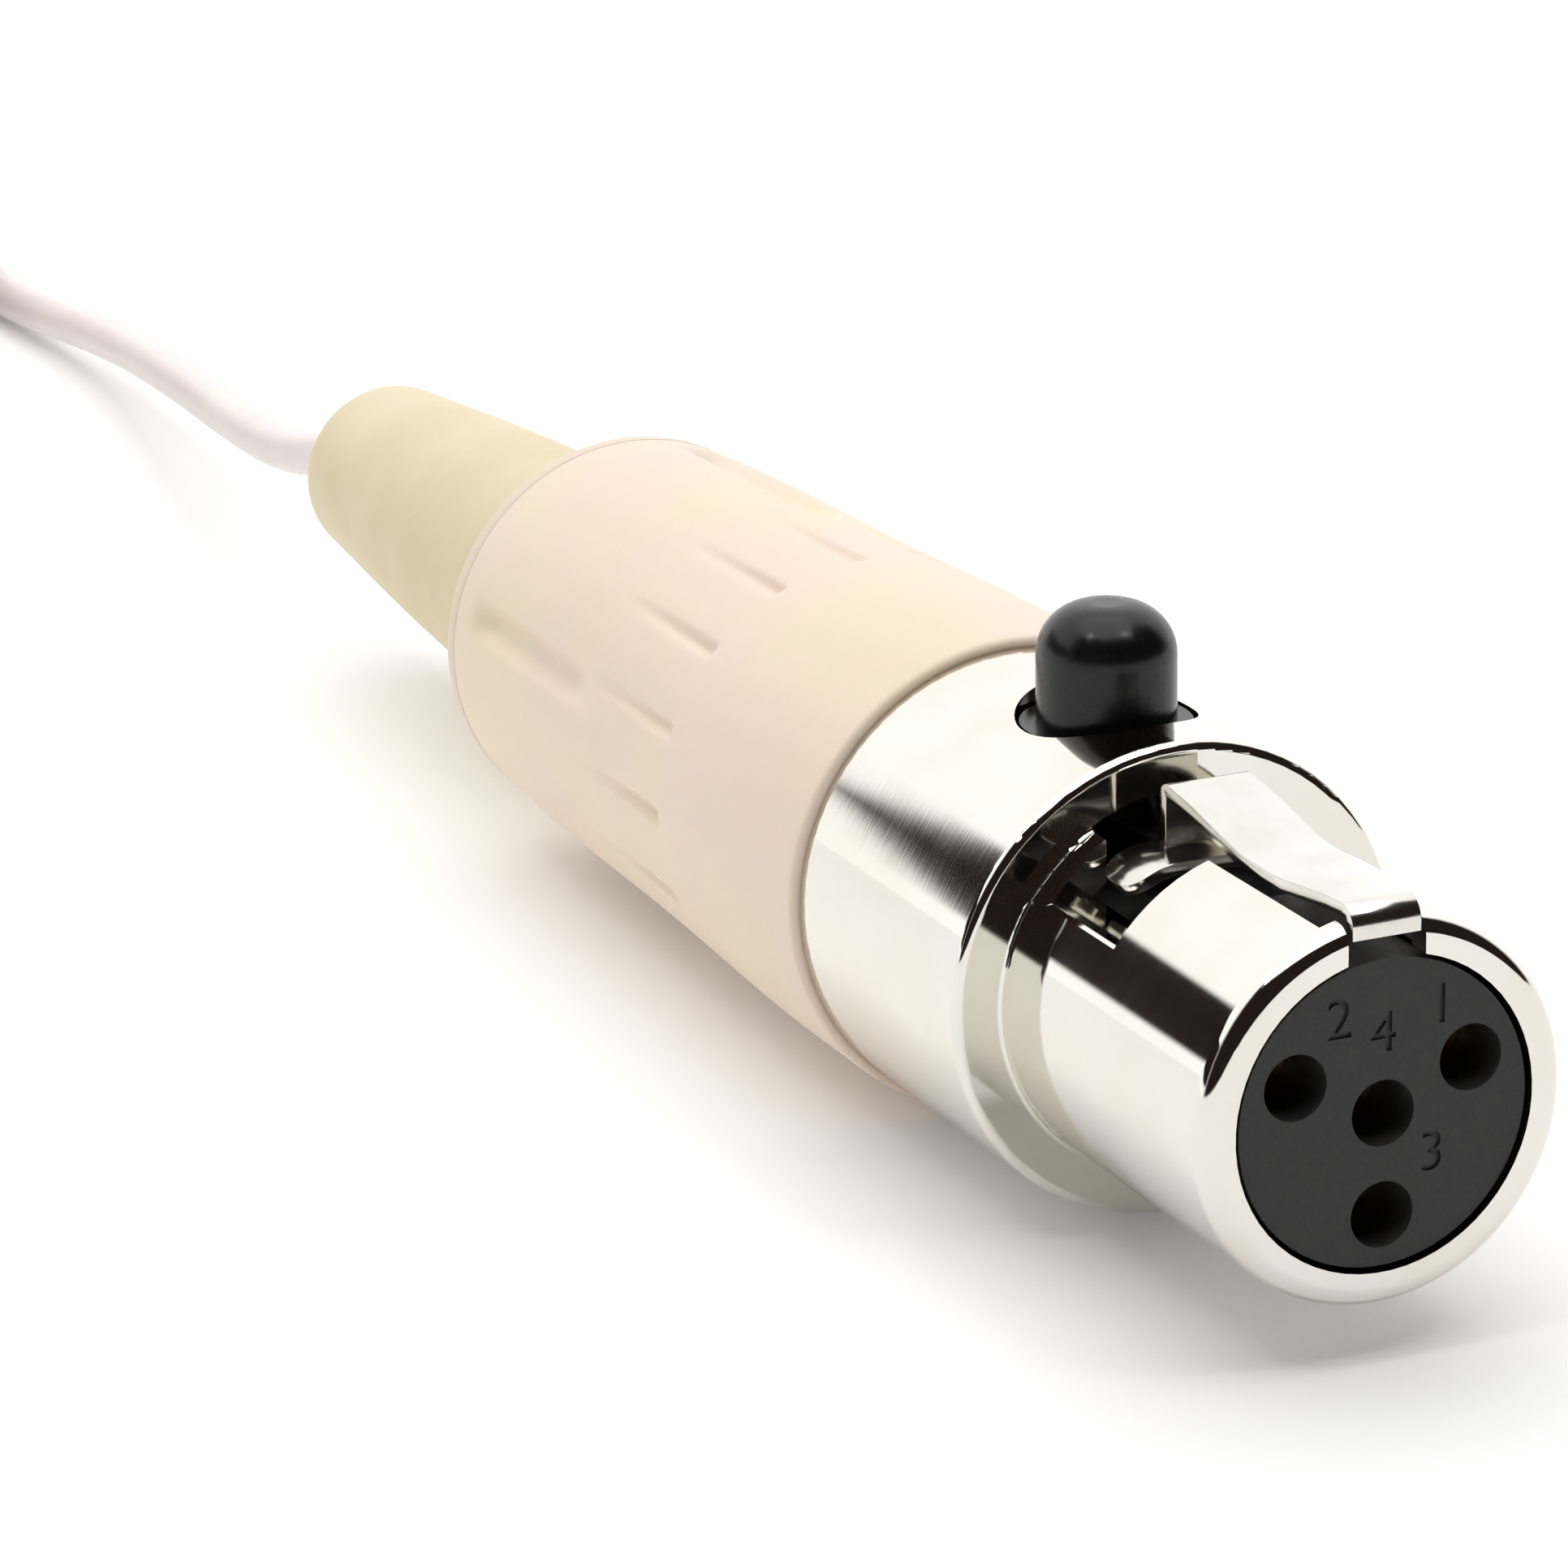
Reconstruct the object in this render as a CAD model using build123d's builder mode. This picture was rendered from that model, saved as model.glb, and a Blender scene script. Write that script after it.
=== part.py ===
import os
from math import cos, pi, radians, sin, tan

from build123d import *

# Headset microphone lead: a latching four-contact miniature plug on a thin moulded cable.
# Millimetres. The origin is the centre of the plug's front rim, +X is the way the plug
# enters its socket, and +Z is the side with the release button.

# Nose and barrel, one metal shell
nose_radius = 4.4
nose_wall = 0.82
nose_length = 9.4
rim_rounding = 0.45
shoulder_height = 1.15
barrel_length = 8.1
barrel_wall = 1.3
barrel_rounding = 0.22
flange_wall = 1.0
tail_wall = 0.73
tail_length = 7.0
seat_gap = 0.05

# Openings in the nose: a notch and slot for the latch and a cross-milled window behind them
notch_clearance = 0.11
notch_length = 0.6
slot_clearance = 0.22
window_front = 5.6
window_length = 3.1
window_floor = 2.58
passage_width = 4.3
edge_break = 0.06
root_fillet = 0.1
cut_overlap = 0.01
cut_margin = 1.0

# Contact insert
face_recess = 0.1
insert_clearance = 0.12
insert_flange_clearance = 0.08
insert_flange_length = 1.15
insert_rear_clearance = 0.15
insert_length = 15.4
insert_flat = 2.15
insert_flat_lead = 0.9

# Contacts: three on a circle and one in the middle
contact_circle = 2.3
contact_tilt = 23.4
contact_hole = 0.75
contact_push = 0.02
contact_recess = 1.8
socket_bore = 0.52
socket_depth = 5.0
cup_bore = 0.52
cup_depth = 2.0
cup_length = 3.0

# Latch: one bent strip of spring steel, its heights taken from the nose's surface
latch_thickness = 0.3
latch_width = 2.06
tongue_width = 1.64
tongue_length = 1.2
shoulder_length = 1.6
hook_x = 0.17
hook_drop = 0.42
hook_rise = 0.18
dip_start_x = 3.3
dip_end_x = 4.7
dip_end_rise = 0.03
ramp_x = 6.9
ramp_rise = 0.46
catch_rise = 0.78
catch_setback = 0.55
tail_drop = 0.7
tail_reach = 1.3
latch_bends = [0.35, 4.0, 4.0, 3.0, 0.2, 0.2]
latch_drop = 0.68
saddle_width = 3.4
saddle_length = 1.6
saddle_clearance = 0.1
ear_reach = 0.66
ear_clearance = 0.1
ear_bend = 1.6
ear_rounding = 0.6

# Release button
button_setback = 3.5
button_radius = 1.6
button_proud = 2.33
button_crown = 1.2
collar_width = 0.375
collar_clearance = 0.1
collar_sink = 0.43
foot_width = 2.8
foot_thickness = 0.4
foot_clearance = 0.06
foot_end_clearance = 0.1
nub_radius = 0.7
nub_clearance = 0.1
pocket_roof = 1.05
pocket_side_clearance = 0.2
pocket_rear_clearance = 0.7

# Boot, screwed on the shell's tail
boot_length = 23.7
boot_proud = 0.21
boot_middle_drop = 0.26
boot_rear_drop = 0.76
boot_rear_side = 0.75
boot_waist = 0.45
boot_rear_slope = 0.09
boot_rounding = 1.9
boot_lip = 2.6
boot_mouth_rounding = 0.2
thread_clearance = 0.06
boot_rear_wall = 2.0
groove_count = 16
groove_length = 5.2
groove_start = 8.1
groove_width = 0.5
groove_depth = 0.26
groove_turn = 1.5
groove_lift = 0.16
channel_count = 4
channel_length = 7.6
channel_start = 13.7
channel_width = 1.3
channel_depth = 0.3
channel_lift = 0.1
channel_turn = -16.0
channel_taper = 0.045

# Strain relief
relief_radius = 3.4
relief_mid_radius = 3.2
relief_tip_radius = 2.45
relief_straight = 0.1
relief_waist = 0.42
relief_length = 16.8
relief_tip_rounding = 0.9
relief_flange_length = 4.6
relief_clearance = 0.04

# Parts that grip the cable inside the boot
cavity_clearance = 0.1
sleeve_wall = 0.55
sleeve_slot_clearance = 0.3
chuck_flange_inset = 0.38
chuck_flange_length = 1.0
chuck_radius = 3.6
chuck_tip_radius = 2.7
chuck_taper = 1.5
chuck_cavity = 2.9
chuck_cavity_length = 5.5
chuck_slot = 0.5
chuck_root = 0.8
ferrule_wall = 0.4
ferrule_length = 2.0
ferrule_rounding = 0.15
jacket_overhang = 0.3
grip_sleeve_wall = 0.31
grip_sleeve_clearance = 0.04

# Wires inside the plug
cord_diameter = 1.3
cord_clearance = 0.03
wire_radius = 0.22
wire_spread = 0.34
link_radius = 0.12
link_clearance = 0.01
wire_straight = 1.7
link_reach = 1.2
cup_sleeve_radius = 0.95
cup_sleeve_clearance = 0.02
cup_sleeve_cover = 1.2
cup_sleeve_overhang = 0.6
solder_clearance = 0.02

# Free cord: its route from the relief to the coil, chosen by hand
lead_route = [
    (-58.0, 0.0, 0.0),
    (-63.5, 0.0, 0.0),
    (-71.0, 0.4, -1.5),
    (-80.0, 1.8, -2.9),
    (-90.0, 3.1, -4.1),
    (-99.0, 3.4, -4.95),
    (-103.6, 4.0, -5.11),
    (-107.4, 4.0, -5.11),
]
coil_centre_x = -109.4
coil_columns = 4
coil_layers = 6
coil_inner_turn = 5.25
tail_route = [
    (-111.4, -14.3, 1.39),
    (-104.6, -14.3, 1.39),
    (-100.0, -13.9, -0.9),
    (-95.5, -12.9, -3.6),
    (-91.5, -12.6, -4.16),
    (-88.5, -12.6, -4.16),
]
tie_width = 4.0
tie_thickness = 0.5
tie_outer_corner = 0.9
tie_inner_corner = 0.5

# Far-end connector
end_relief_length = 5.0
end_relief_wall = 0.3
end_relief_radius = 1.3
end_relief_rounding = 0.25
end_body_radius = 1.6
end_body_length = 8.0
end_body_rounding = 0.2
end_plug_radius = 1.3
end_plug_length = 3.2
end_plug_wall = 0.25
end_seat_depth = 2.0
end_pin_radius = 0.2
end_pin_circle = 0.55
end_pin_recess = 0.4
end_face_depth = 2.6
end_fit = 0.02
end_pin_fit = 0.01

# Radii worked out from the values above
barrel_radius = nose_radius + shoulder_height
nose_bore = nose_radius - nose_wall
body_bore = barrel_radius - barrel_wall
tail_radius = body_bore + tail_wall
sleeve_radius = body_bore - seat_gap
sleeve_bore = sleeve_radius - sleeve_wall
insert_radius = nose_bore - insert_clearance
insert_flange_radius = body_bore - insert_flange_clearance
insert_rear_radius = sleeve_bore - insert_rear_clearance
contact_radius = contact_hole - contact_push
collar_radius = button_radius + collar_width
button_hole = collar_radius + collar_clearance
chuck_flange_radius = tail_radius - chuck_flange_inset
boot_cavity = chuck_flange_radius + cavity_clearance
boot_front_radius = barrel_radius + boot_proud
boot_middle_radius = boot_front_radius - boot_middle_drop
boot_rear_radius = boot_front_radius - boot_rear_drop
boot_rear_cavity = boot_rear_radius - boot_rear_side
relief_flange_radius = boot_rear_cavity - cavity_clearance
cord_radius = cord_diameter / 2
cord_bore = cord_radius + cord_clearance
ferrule_radius = cord_radius + ferrule_wall
grip_sleeve_radius = cord_radius + grip_sleeve_wall
chuck_bore = grip_sleeve_radius + grip_sleeve_clearance

# Stations along the axis
shoulder_x = -nose_length
bore_start_x = shoulder_x - flange_wall
barrel_end_x = shoulder_x - barrel_length
tail_end_x = barrel_end_x - tail_length
window_rear_x = -window_front - window_length
boot_front_x = barrel_end_x - seat_gap
boot_seat_x = tail_end_x - seat_gap
boot_end_x = barrel_end_x - boot_length
relief_end_x = boot_end_x - relief_length
insert_front_x = -face_recess
insert_end_x = insert_front_x - insert_length
insert_flat_x = insert_flat_lead - window_front
contact_front_x = insert_front_x - contact_recess
cup_end_x = insert_end_x - cup_length
relief_flange_back_x = boot_end_x + boot_rear_wall + relief_clearance
relief_flange_front_x = relief_flange_back_x + relief_flange_length
chuck_end_x = relief_flange_front_x + cavity_clearance
chuck_grip_x = boot_seat_x - chuck_cavity_length
ferrule_front_x = chuck_grip_x + ferrule_length
jacket_end_x = ferrule_front_x + jacket_overhang
button_x = shoulder_x - button_setback
foot_length = 2 * (bore_start_x - foot_end_clearance - button_x)
pocket_length = bore_start_x - button_x + foot_length / 2 + pocket_rear_clearance
latch_rear_x = button_x - tail_reach
saddle_rear_x = window_rear_x + saddle_clearance

# Heights
pocket_ceiling = barrel_radius - pocket_roof
foot_top = pocket_ceiling - foot_clearance
foot_bottom = foot_top - foot_thickness
latch_low = nose_radius - tail_drop
ear_bottom = insert_flat + latch_drop + ear_clearance
half_sheet = latch_thickness / 2

contact_places = [
    (contact_circle * cos(radians(contact_tilt)), contact_circle * sin(radians(contact_tilt))),
    (-contact_circle * cos(radians(contact_tilt)), contact_circle * sin(radians(contact_tilt))),
    (0.0, -contact_circle),
    (0.0, 0.0),
]

os.makedirs("parts", exist_ok=True)


def turn_outline(points, centre=(0.0, 0.0)):
    """Revolve a closed outline of (x, radius) points about a line along X at (y, z)."""
    middle = (0, *centre)
    with BuildSketch(Plane(origin=middle, x_dir=(1, 0, 0), z_dir=(0, -1, 0))) as outline:
        with BuildLine():
            Polyline(*points, close=True)
        make_face()
    revolve(outline.sketch, axis=Axis(middle, (1, 0, 0)))


def rod(start_x, end_x, radius, places=((0.0, 0.0),), mode=Mode.ADD):
    """Round rods along X between two stations, at (y, z) places."""
    with BuildSketch(Plane.YZ.offset(end_x)) as section:
        with Locations(*places):
            Circle(radius)
    extrude(section.sketch, amount=start_x - end_x, mode=mode)


def arc_radii(points):
    """Radius of the arc at each corner: 0.45 of its shorter run over tan(half the turn)."""
    radii = []
    for before, here, after in zip(points, points[1:], points[2:]):
        run_in = Vector(*here) - Vector(*before)
        run_out = Vector(*after) - Vector(*here)
        half_turn = radians(run_in.get_angle(run_out)) / 2
        radii.append(0.45 * min(run_in.length, run_out.length) / tan(half_turn))
    return radii


def sweep_tube(points, radius):
    """A round tube along straight runs joined by tangent arcs."""
    with BuildLine() as path:
        FilletPolyline(*points, radius=arc_radii(points))
    with BuildSketch(Plane(origin=path.line @ 0, z_dir=path.line % 0)) as section:
        Circle(radius)
    sweep(section.sketch, path=path.line)


def on_nose_opening(edge):
    """True for an edge where the slot or the window meets the nose's outer surface."""
    for share in (0.1, 0.5, 0.9):
        point = edge @ share
        outside = abs((point.Y ** 2 + point.Z ** 2) ** 0.5 - nose_radius) < 0.001
        if not outside or not window_rear_x - 0.001 < point.X < -notch_length:
            return False
    return True


# Shell

with BuildPart() as plug_shell:
    turn_outline([
        (0, nose_bore),
        (0, nose_radius),
        (shoulder_x, nose_radius),
        (shoulder_x, barrel_radius),
        (barrel_end_x, barrel_radius),
        (barrel_end_x, tail_radius),
        (tail_end_x, tail_radius),
        (tail_end_x, body_bore),
        (bore_start_x, body_bore),
        (bore_start_x, nose_bore),
    ])
    front_circles = plug_shell.edges().filter_by(GeomType.CIRCLE).group_by(Axis.X)[-1]
    fillet(front_circles.sort_by(SortBy.RADIUS)[-1], radius=rim_rounding)
    shoulder_circles = plug_shell.edges().filter_by(GeomType.CIRCLE).filter_by(
        lambda edge: abs(edge.radius - barrel_radius) < 0.001)
    fillet(shoulder_circles.sort_by(Axis.X)[-1], radius=barrel_rounding)
    root_circles = plug_shell.edges().filter_by(GeomType.CIRCLE).filter_by(
        lambda edge: abs(edge.radius - nose_radius) < 0.001)
    fillet(root_circles.sort_by(Axis.X)[0], radius=root_fillet)
    # notch in the rim, slot for the latch, and the window milled across behind them
    with BuildSketch(Plane.XY.offset(window_floor)):
        with Locations((-notch_length / 2, 0)):
            Rectangle(notch_length, tongue_width + 2 * notch_clearance)
        with Locations((-(notch_length + window_front) / 2, 0)):
            Rectangle(window_front - notch_length + cut_overlap, latch_width + 2 * slot_clearance)
        with Locations((-window_front - window_length / 2, 0)):
            Rectangle(window_length, 2 * nose_radius + cut_margin)
    extrude(amount=nose_radius, mode=Mode.SUBTRACT)
    # passage for the latch, under the flange and into the body
    with BuildSketch(Plane.YZ.offset(bore_start_x)):
        Circle(nose_radius + root_fillet)
        with Locations((0, window_floor + nose_radius)):
            Rectangle(passage_width, 2 * nose_radius, mode=Mode.INTERSECT)
    extrude(amount=window_rear_x - bore_start_x + cut_overlap, mode=Mode.SUBTRACT)
    # flat-roofed pocket and round hole for the button
    with BuildSketch(Plane.XY):
        with Locations((bore_start_x - pocket_length / 2, 0)):
            Rectangle(pocket_length, foot_width + 2 * pocket_side_clearance)
    extrude(amount=pocket_ceiling, mode=Mode.SUBTRACT)
    with BuildSketch(Plane.XY):
        with Locations((button_x, 0)):
            Circle(button_hole)
    extrude(amount=barrel_radius + cut_margin, mode=Mode.SUBTRACT)
    # broken edges round the slot and the window
    chamfer(plug_shell.edges().filter_by(on_nose_opening), length=edge_break)
plug_shell.part.label = "plug_shell"
export_step(plug_shell.part, "parts/plug_shell.step")

# Insert and contacts

with BuildPart() as contact_insert:
    flange_front_x = bore_start_x - seat_gap
    flange_end_x = flange_front_x - insert_flange_length
    turn_outline([
        (insert_front_x, 0),
        (insert_front_x, insert_radius),
        (flange_front_x, insert_radius),
        (flange_front_x, insert_flange_radius),
        (flange_end_x, insert_flange_radius),
        (flange_end_x, insert_rear_radius),
        (insert_end_x, insert_rear_radius),
        (insert_end_x, 0),
    ])
    with BuildSketch(Plane.XY.offset(insert_flat)):
        with Locations((insert_flat_x, 0)):
            Rectangle(insert_length, 3 * insert_flange_radius, align=(Align.MAX, Align.CENTER))
    extrude(amount=insert_flange_radius, mode=Mode.SUBTRACT)
    rod(cut_margin, insert_end_x - cut_margin, contact_hole, contact_places, Mode.SUBTRACT)
contact_insert.part.label = "contact_insert"
export_step(contact_insert.part, "parts/contact_insert.step")

for number, place in enumerate(contact_places, start=1):
    with BuildPart() as contact:
        rod(contact_front_x, cup_end_x, contact_radius, (place,))
        rod(contact_front_x, contact_front_x - socket_depth, socket_bore, (place,), Mode.SUBTRACT)
        rod(cup_end_x + cup_depth, cup_end_x, cup_bore, (place,), Mode.SUBTRACT)
    contact.part.label = f"contact_{number}"
    export_step(contact.part, f"parts/contact_{number}.step")

# Latch

with BuildPart() as latch:
    # side view of the strip, as the middle line of the sheet
    with BuildSketch(Plane.XZ):
        with BuildLine():
            catch_x = saddle_rear_x + catch_setback - half_sheet
            FilletPolyline(
                (-hook_x, nose_radius - hook_drop),
                (-hook_x, nose_radius + hook_rise),
                (-dip_start_x, nose_radius),
                (-dip_end_x, nose_radius + dip_end_rise),
                (-ramp_x, nose_radius + ramp_rise),
                (catch_x, nose_radius + catch_rise - half_sheet),
                (catch_x, latch_low - half_sheet),
                (latch_rear_x, latch_low - half_sheet),
                radius=latch_bends,
            )
        trace(line_width=latch_thickness)
    extrude(amount=latch_width / 2, both=True)
    # plan view: the tongue at the front is narrower, with eased shoulders
    with BuildSketch(Plane.XY):
        with BuildLine():
            Polyline(
                (cut_margin, -tongue_width / 2),
                (-tongue_length, -tongue_width / 2),
                (-tongue_length - shoulder_length, -latch_width / 2),
                (latch_rear_x - cut_margin, -latch_width / 2),
                (latch_rear_x - cut_margin, latch_width / 2),
                (-tongue_length - shoulder_length, latch_width / 2),
                (-tongue_length, tongue_width / 2),
                (cut_margin, tongue_width / 2),
                close=True,
            )
        make_face()
    extrude(amount=2 * nose_radius, mode=Mode.INTERSECT)
    # saddle under the catch, its two arms curled down as ears
    with BuildSketch(Plane.YZ.offset(saddle_rear_x)):
        with BuildLine():
            FilletPolyline(
                (-saddle_width / 2 - ear_reach, ear_bottom + half_sheet),
                (-saddle_width / 2, latch_low - half_sheet),
                (saddle_width / 2, latch_low - half_sheet),
                (saddle_width / 2 + ear_reach, ear_bottom + half_sheet),
                radius=ear_bend,
            )
        trace(line_width=latch_thickness)
    extrude(amount=saddle_length)
    ear_tips = latch.faces().filter_by(GeomType.PLANE).sort_by(Axis.Y)
    ear_corners = [edge for face in (ear_tips[0], ear_tips[-1]) for edge in face.edges()
                   if abs(edge.length - latch_thickness) < 0.001]
    fillet(ear_corners, radius=ear_rounding)
latch.part.label = "latch"
export_step(latch.part, "parts/latch.step")

# Release button

with BuildPart() as release_button:
    with BuildSketch(Plane.XY.offset(foot_bottom)):
        with Locations((button_x, 0)):
            Rectangle(foot_length, foot_width)
    extrude(amount=foot_thickness)
    with BuildSketch(Plane.XY.offset(foot_bottom)):
        with Locations((button_x, 0)):
            Circle(collar_radius)
    extrude(amount=barrel_radius - collar_sink - foot_bottom)
    with BuildSketch(Plane.XY.offset(latch_low + nub_clearance)):
        with Locations((button_x, 0)):
            Circle(nub_radius)
    extrude(amount=foot_top - latch_low - nub_clearance)
    with BuildSketch(Plane.XY.offset(foot_bottom)):
        with Locations((button_x, 0)):
            Circle(button_radius)
    extrude(amount=barrel_radius + button_proud - foot_bottom)
    fillet(release_button.edges().filter_by(GeomType.CIRCLE).group_by(Axis.Z)[-1], radius=button_crown)
release_button.part.label = "release_button"
export_step(release_button.part, "parts/release_button.step")

# Spacer sleeve and chuck

with BuildPart() as spacer_sleeve:
    sleeve_front_x = flange_end_x - seat_gap
    rod(sleeve_front_x, tail_end_x, sleeve_radius)
    rod(sleeve_front_x, tail_end_x, sleeve_bore, mode=Mode.SUBTRACT)
    with BuildSketch(Plane.XY):
        with Locations((bore_start_x - pocket_length / 2, 0)):
            Rectangle(pocket_length, 2 * button_hole + sleeve_slot_clearance)
    extrude(amount=sleeve_radius, mode=Mode.SUBTRACT)
spacer_sleeve.part.label = "spacer_sleeve"
export_step(spacer_sleeve.part, "parts/spacer_sleeve.step")

with BuildPart() as cable_chuck:
    turn_outline([
        (boot_seat_x, chuck_cavity),
        (boot_seat_x, chuck_flange_radius),
        (boot_seat_x - chuck_flange_length, chuck_flange_radius),
        (boot_seat_x - chuck_flange_length, chuck_radius),
        (chuck_end_x + chuck_taper, chuck_radius),
        (chuck_end_x, chuck_tip_radius),
        (chuck_end_x, chuck_bore),
        (chuck_grip_x, chuck_bore),
        (chuck_grip_x, chuck_cavity),
    ])
    with BuildSketch(Plane.YZ.offset(chuck_end_x)):
        Rectangle(3 * chuck_radius, chuck_slot)
        Rectangle(chuck_slot, 3 * chuck_radius)
    extrude(amount=chuck_grip_x - chuck_end_x - chuck_root, mode=Mode.SUBTRACT)
cable_chuck.part.label = "cable_chuck"
export_step(cable_chuck.part, "parts/cable_chuck.step")

# Boot

lip_end = (boot_front_x - boot_lip, boot_front_radius)
boot_rear = (boot_end_x, boot_rear_radius)
with BuildPart() as boot:
    with BuildSketch(Plane.XZ):
        with BuildLine():
            Spline(
                lip_end,
                (boot_front_x - boot_waist * boot_length, boot_middle_radius),
                boot_rear,
                tangents=[(-1, 0), (-1, -boot_rear_slope)],
            )
            Polyline(
                lip_end,
                (boot_front_x, boot_front_radius),
                (boot_front_x, tail_radius + thread_clearance),
                (boot_seat_x, tail_radius + thread_clearance),
                (boot_seat_x, boot_cavity),
                (chuck_end_x, boot_cavity),
                (chuck_end_x, boot_rear_cavity),
                (boot_end_x + boot_rear_wall, boot_rear_cavity),
                (boot_end_x + boot_rear_wall, relief_radius + relief_clearance),
                (boot_end_x, relief_radius + relief_clearance),
                boot_rear,
            )
        make_face()
    revolve(axis=Axis.X)
    rear_circles = boot.edges().filter_by(GeomType.CIRCLE).group_by(Axis.X)[0]
    most_rounding = min(boot_rear_wall - seat_gap, 0.9 * (boot_rear_radius - relief_radius))
    fillet(rear_circles.sort_by(SortBy.RADIUS)[-1], radius=min(boot_rounding, most_rounding))
    front_circles = boot.edges().filter_by(GeomType.CIRCLE).group_by(Axis.X)[-1]
    fillet(front_circles.sort_by(SortBy.RADIUS)[-1], radius=boot_mouth_rounding)
    # narrow grip grooves, parallel to the axis, so that they run out as the boot tapers
    groove_axis_radius = boot_middle_radius + groove_lift - groove_depth + groove_width / 2
    with BuildSketch(Plane.YZ.offset(boot_front_x - groove_start - groove_length)):
        with PolarLocations(groove_axis_radius, groove_count, start_angle=90 + groove_turn):
            Circle(groove_width / 2)
    extrude(amount=groove_length, mode=Mode.SUBTRACT)
    # broad channels behind them, which follow the taper
    channel_end_x = boot_front_x - channel_start - channel_length
    channel_axis_radius = boot_rear_radius + channel_lift - channel_depth + channel_width / 2
    for turn in range(channel_count):
        around = radians(90 + channel_turn + 360 / channel_count * turn)
        across = Vector(0, cos(around), sin(around))
        start = Vector(channel_end_x, 0, 0) + across * channel_axis_radius
        with BuildSketch(Plane(origin=start, z_dir=Vector(1, 0, 0) + across * channel_taper)):
            Circle(channel_width / 2)
        extrude(amount=channel_length, mode=Mode.SUBTRACT)
boot.part.label = "boot"
export_step(boot.part, "parts/boot.step")

# Strain relief and what the cable passes through

with BuildPart() as strain_relief:
    turn_outline([
        (relief_flange_front_x, cord_bore),
        (relief_flange_front_x, relief_flange_radius),
        (relief_flange_back_x, relief_flange_radius),
        (relief_flange_back_x, relief_radius),
        (boot_end_x - relief_straight * relief_length, relief_radius),
        (boot_end_x - relief_waist * relief_length, relief_mid_radius),
        (relief_end_x, relief_tip_radius),
        (relief_end_x, cord_bore),
    ])
    tip_circles = strain_relief.edges().filter_by(GeomType.CIRCLE).group_by(Axis.X)[0]
    fillet(tip_circles.sort_by(SortBy.RADIUS)[-1], radius=relief_tip_rounding)
strain_relief.part.label = "strain_relief"
export_step(strain_relief.part, "parts/strain_relief.step")

with BuildPart() as crimp_ferrule:
    rod(ferrule_front_x, chuck_grip_x + seat_gap, ferrule_radius)
    rod(ferrule_front_x, chuck_grip_x + seat_gap, cord_bore, mode=Mode.SUBTRACT)
    ferrule_rims = crimp_ferrule.edges().group_by(Axis.X)[-1]
    fillet(ferrule_rims.sort_by(SortBy.RADIUS)[-1], radius=ferrule_rounding)
crimp_ferrule.part.label = "crimp_ferrule"
export_step(crimp_ferrule.part, "parts/crimp_ferrule.step")

with BuildPart() as grip_sleeve:
    rod(chuck_grip_x, relief_flange_front_x + seat_gap, grip_sleeve_radius)
    rod(chuck_grip_x, relief_flange_front_x + seat_gap, cord_bore, mode=Mode.SUBTRACT)
grip_sleeve.part.label = "grip_sleeve"
export_step(grip_sleeve.part, "parts/grip_sleeve.step")

with BuildPart() as inner_cable:
    rod(jacket_end_x, relief_end_x, cord_radius)
inner_cable.part.label = "inner_cable"
export_step(inner_cable.part, "parts/inner_cable.step")

# Wires from the cable's end to the solder cups

wire_end_x = cup_end_x + seat_gap
wire_names = ["screen_wire", "bias_wire", "signal_wire"]
for index, wire_name in enumerate(wire_names):
    cup_y, cup_z = contact_places[index]
    start_y = wire_spread * cup_y / contact_circle
    start_z = wire_spread * cup_z / contact_circle
    with BuildPart() as wire:
        sweep_tube([
            (jacket_end_x, start_y, start_z),
            (jacket_end_x + wire_straight, start_y, start_z),
            (wire_end_x - wire_straight, cup_y, cup_z),
            (wire_end_x, cup_y, cup_z),
        ], wire_radius)
    wire.part.label = wire_name
    export_step(wire.part, f"parts/{wire_name}.step")

with BuildPart() as link_wire:
    link_z = contact_places[2][1] + wire_radius + link_radius + link_clearance
    sweep_tube([
        (wire_end_x, 0, 0),
        (wire_end_x - link_reach, 0, 0),
        (wire_end_x - link_reach, 0, link_z),
        (wire_end_x, 0, link_z),
    ], link_radius)
link_wire.part.label = "link_wire"
export_step(link_wire.part, "parts/link_wire.step")

with BuildPart() as solder_joints:
    solder_front_x = cup_end_x + cup_depth - solder_clearance
    rod(solder_front_x, wire_end_x, cup_bore - solder_clearance, contact_places)
solder_joints.part.label = "solder_joints"
export_step(solder_joints.part, "parts/solder_joints.step")

with BuildPart() as cup_sleeves:
    sleeves_front_x = cup_end_x + cup_sleeve_cover
    sleeves_rear_x = cup_end_x - cup_sleeve_overhang
    cup_fit_radius = contact_radius + cup_sleeve_clearance
    rod(sleeves_front_x, sleeves_rear_x, cup_sleeve_radius, contact_places)
    rod(sleeves_front_x, sleeves_rear_x, cup_fit_radius, contact_places, Mode.SUBTRACT)
cup_sleeves.part.label = "cup_sleeves"
export_step(cup_sleeves.part, "parts/cup_sleeves.step")

# Free cord, its coil and the tie

floor_z = -boot_front_radius
outer_turn = coil_inner_turn + (coil_columns - 1) * cord_diameter
coil_centre_y = lead_route[-1][1] - outer_turn
coil_outside = outer_turn + cord_radius
coil_inside = coil_inner_turn - cord_radius
coil_height = coil_layers * cord_diameter

with BuildPart() as lead_cable:
    sweep_tube(lead_route, cord_radius)
lead_cable.part.label = "lead_cable"
export_step(lead_cable.part, "parts/lead_cable.step")

with BuildPart() as lead_tail:
    sweep_tube(tail_route, cord_radius)
lead_tail.part.label = "lead_tail"
export_step(lead_tail.part, "parts/lead_tail.step")

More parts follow.
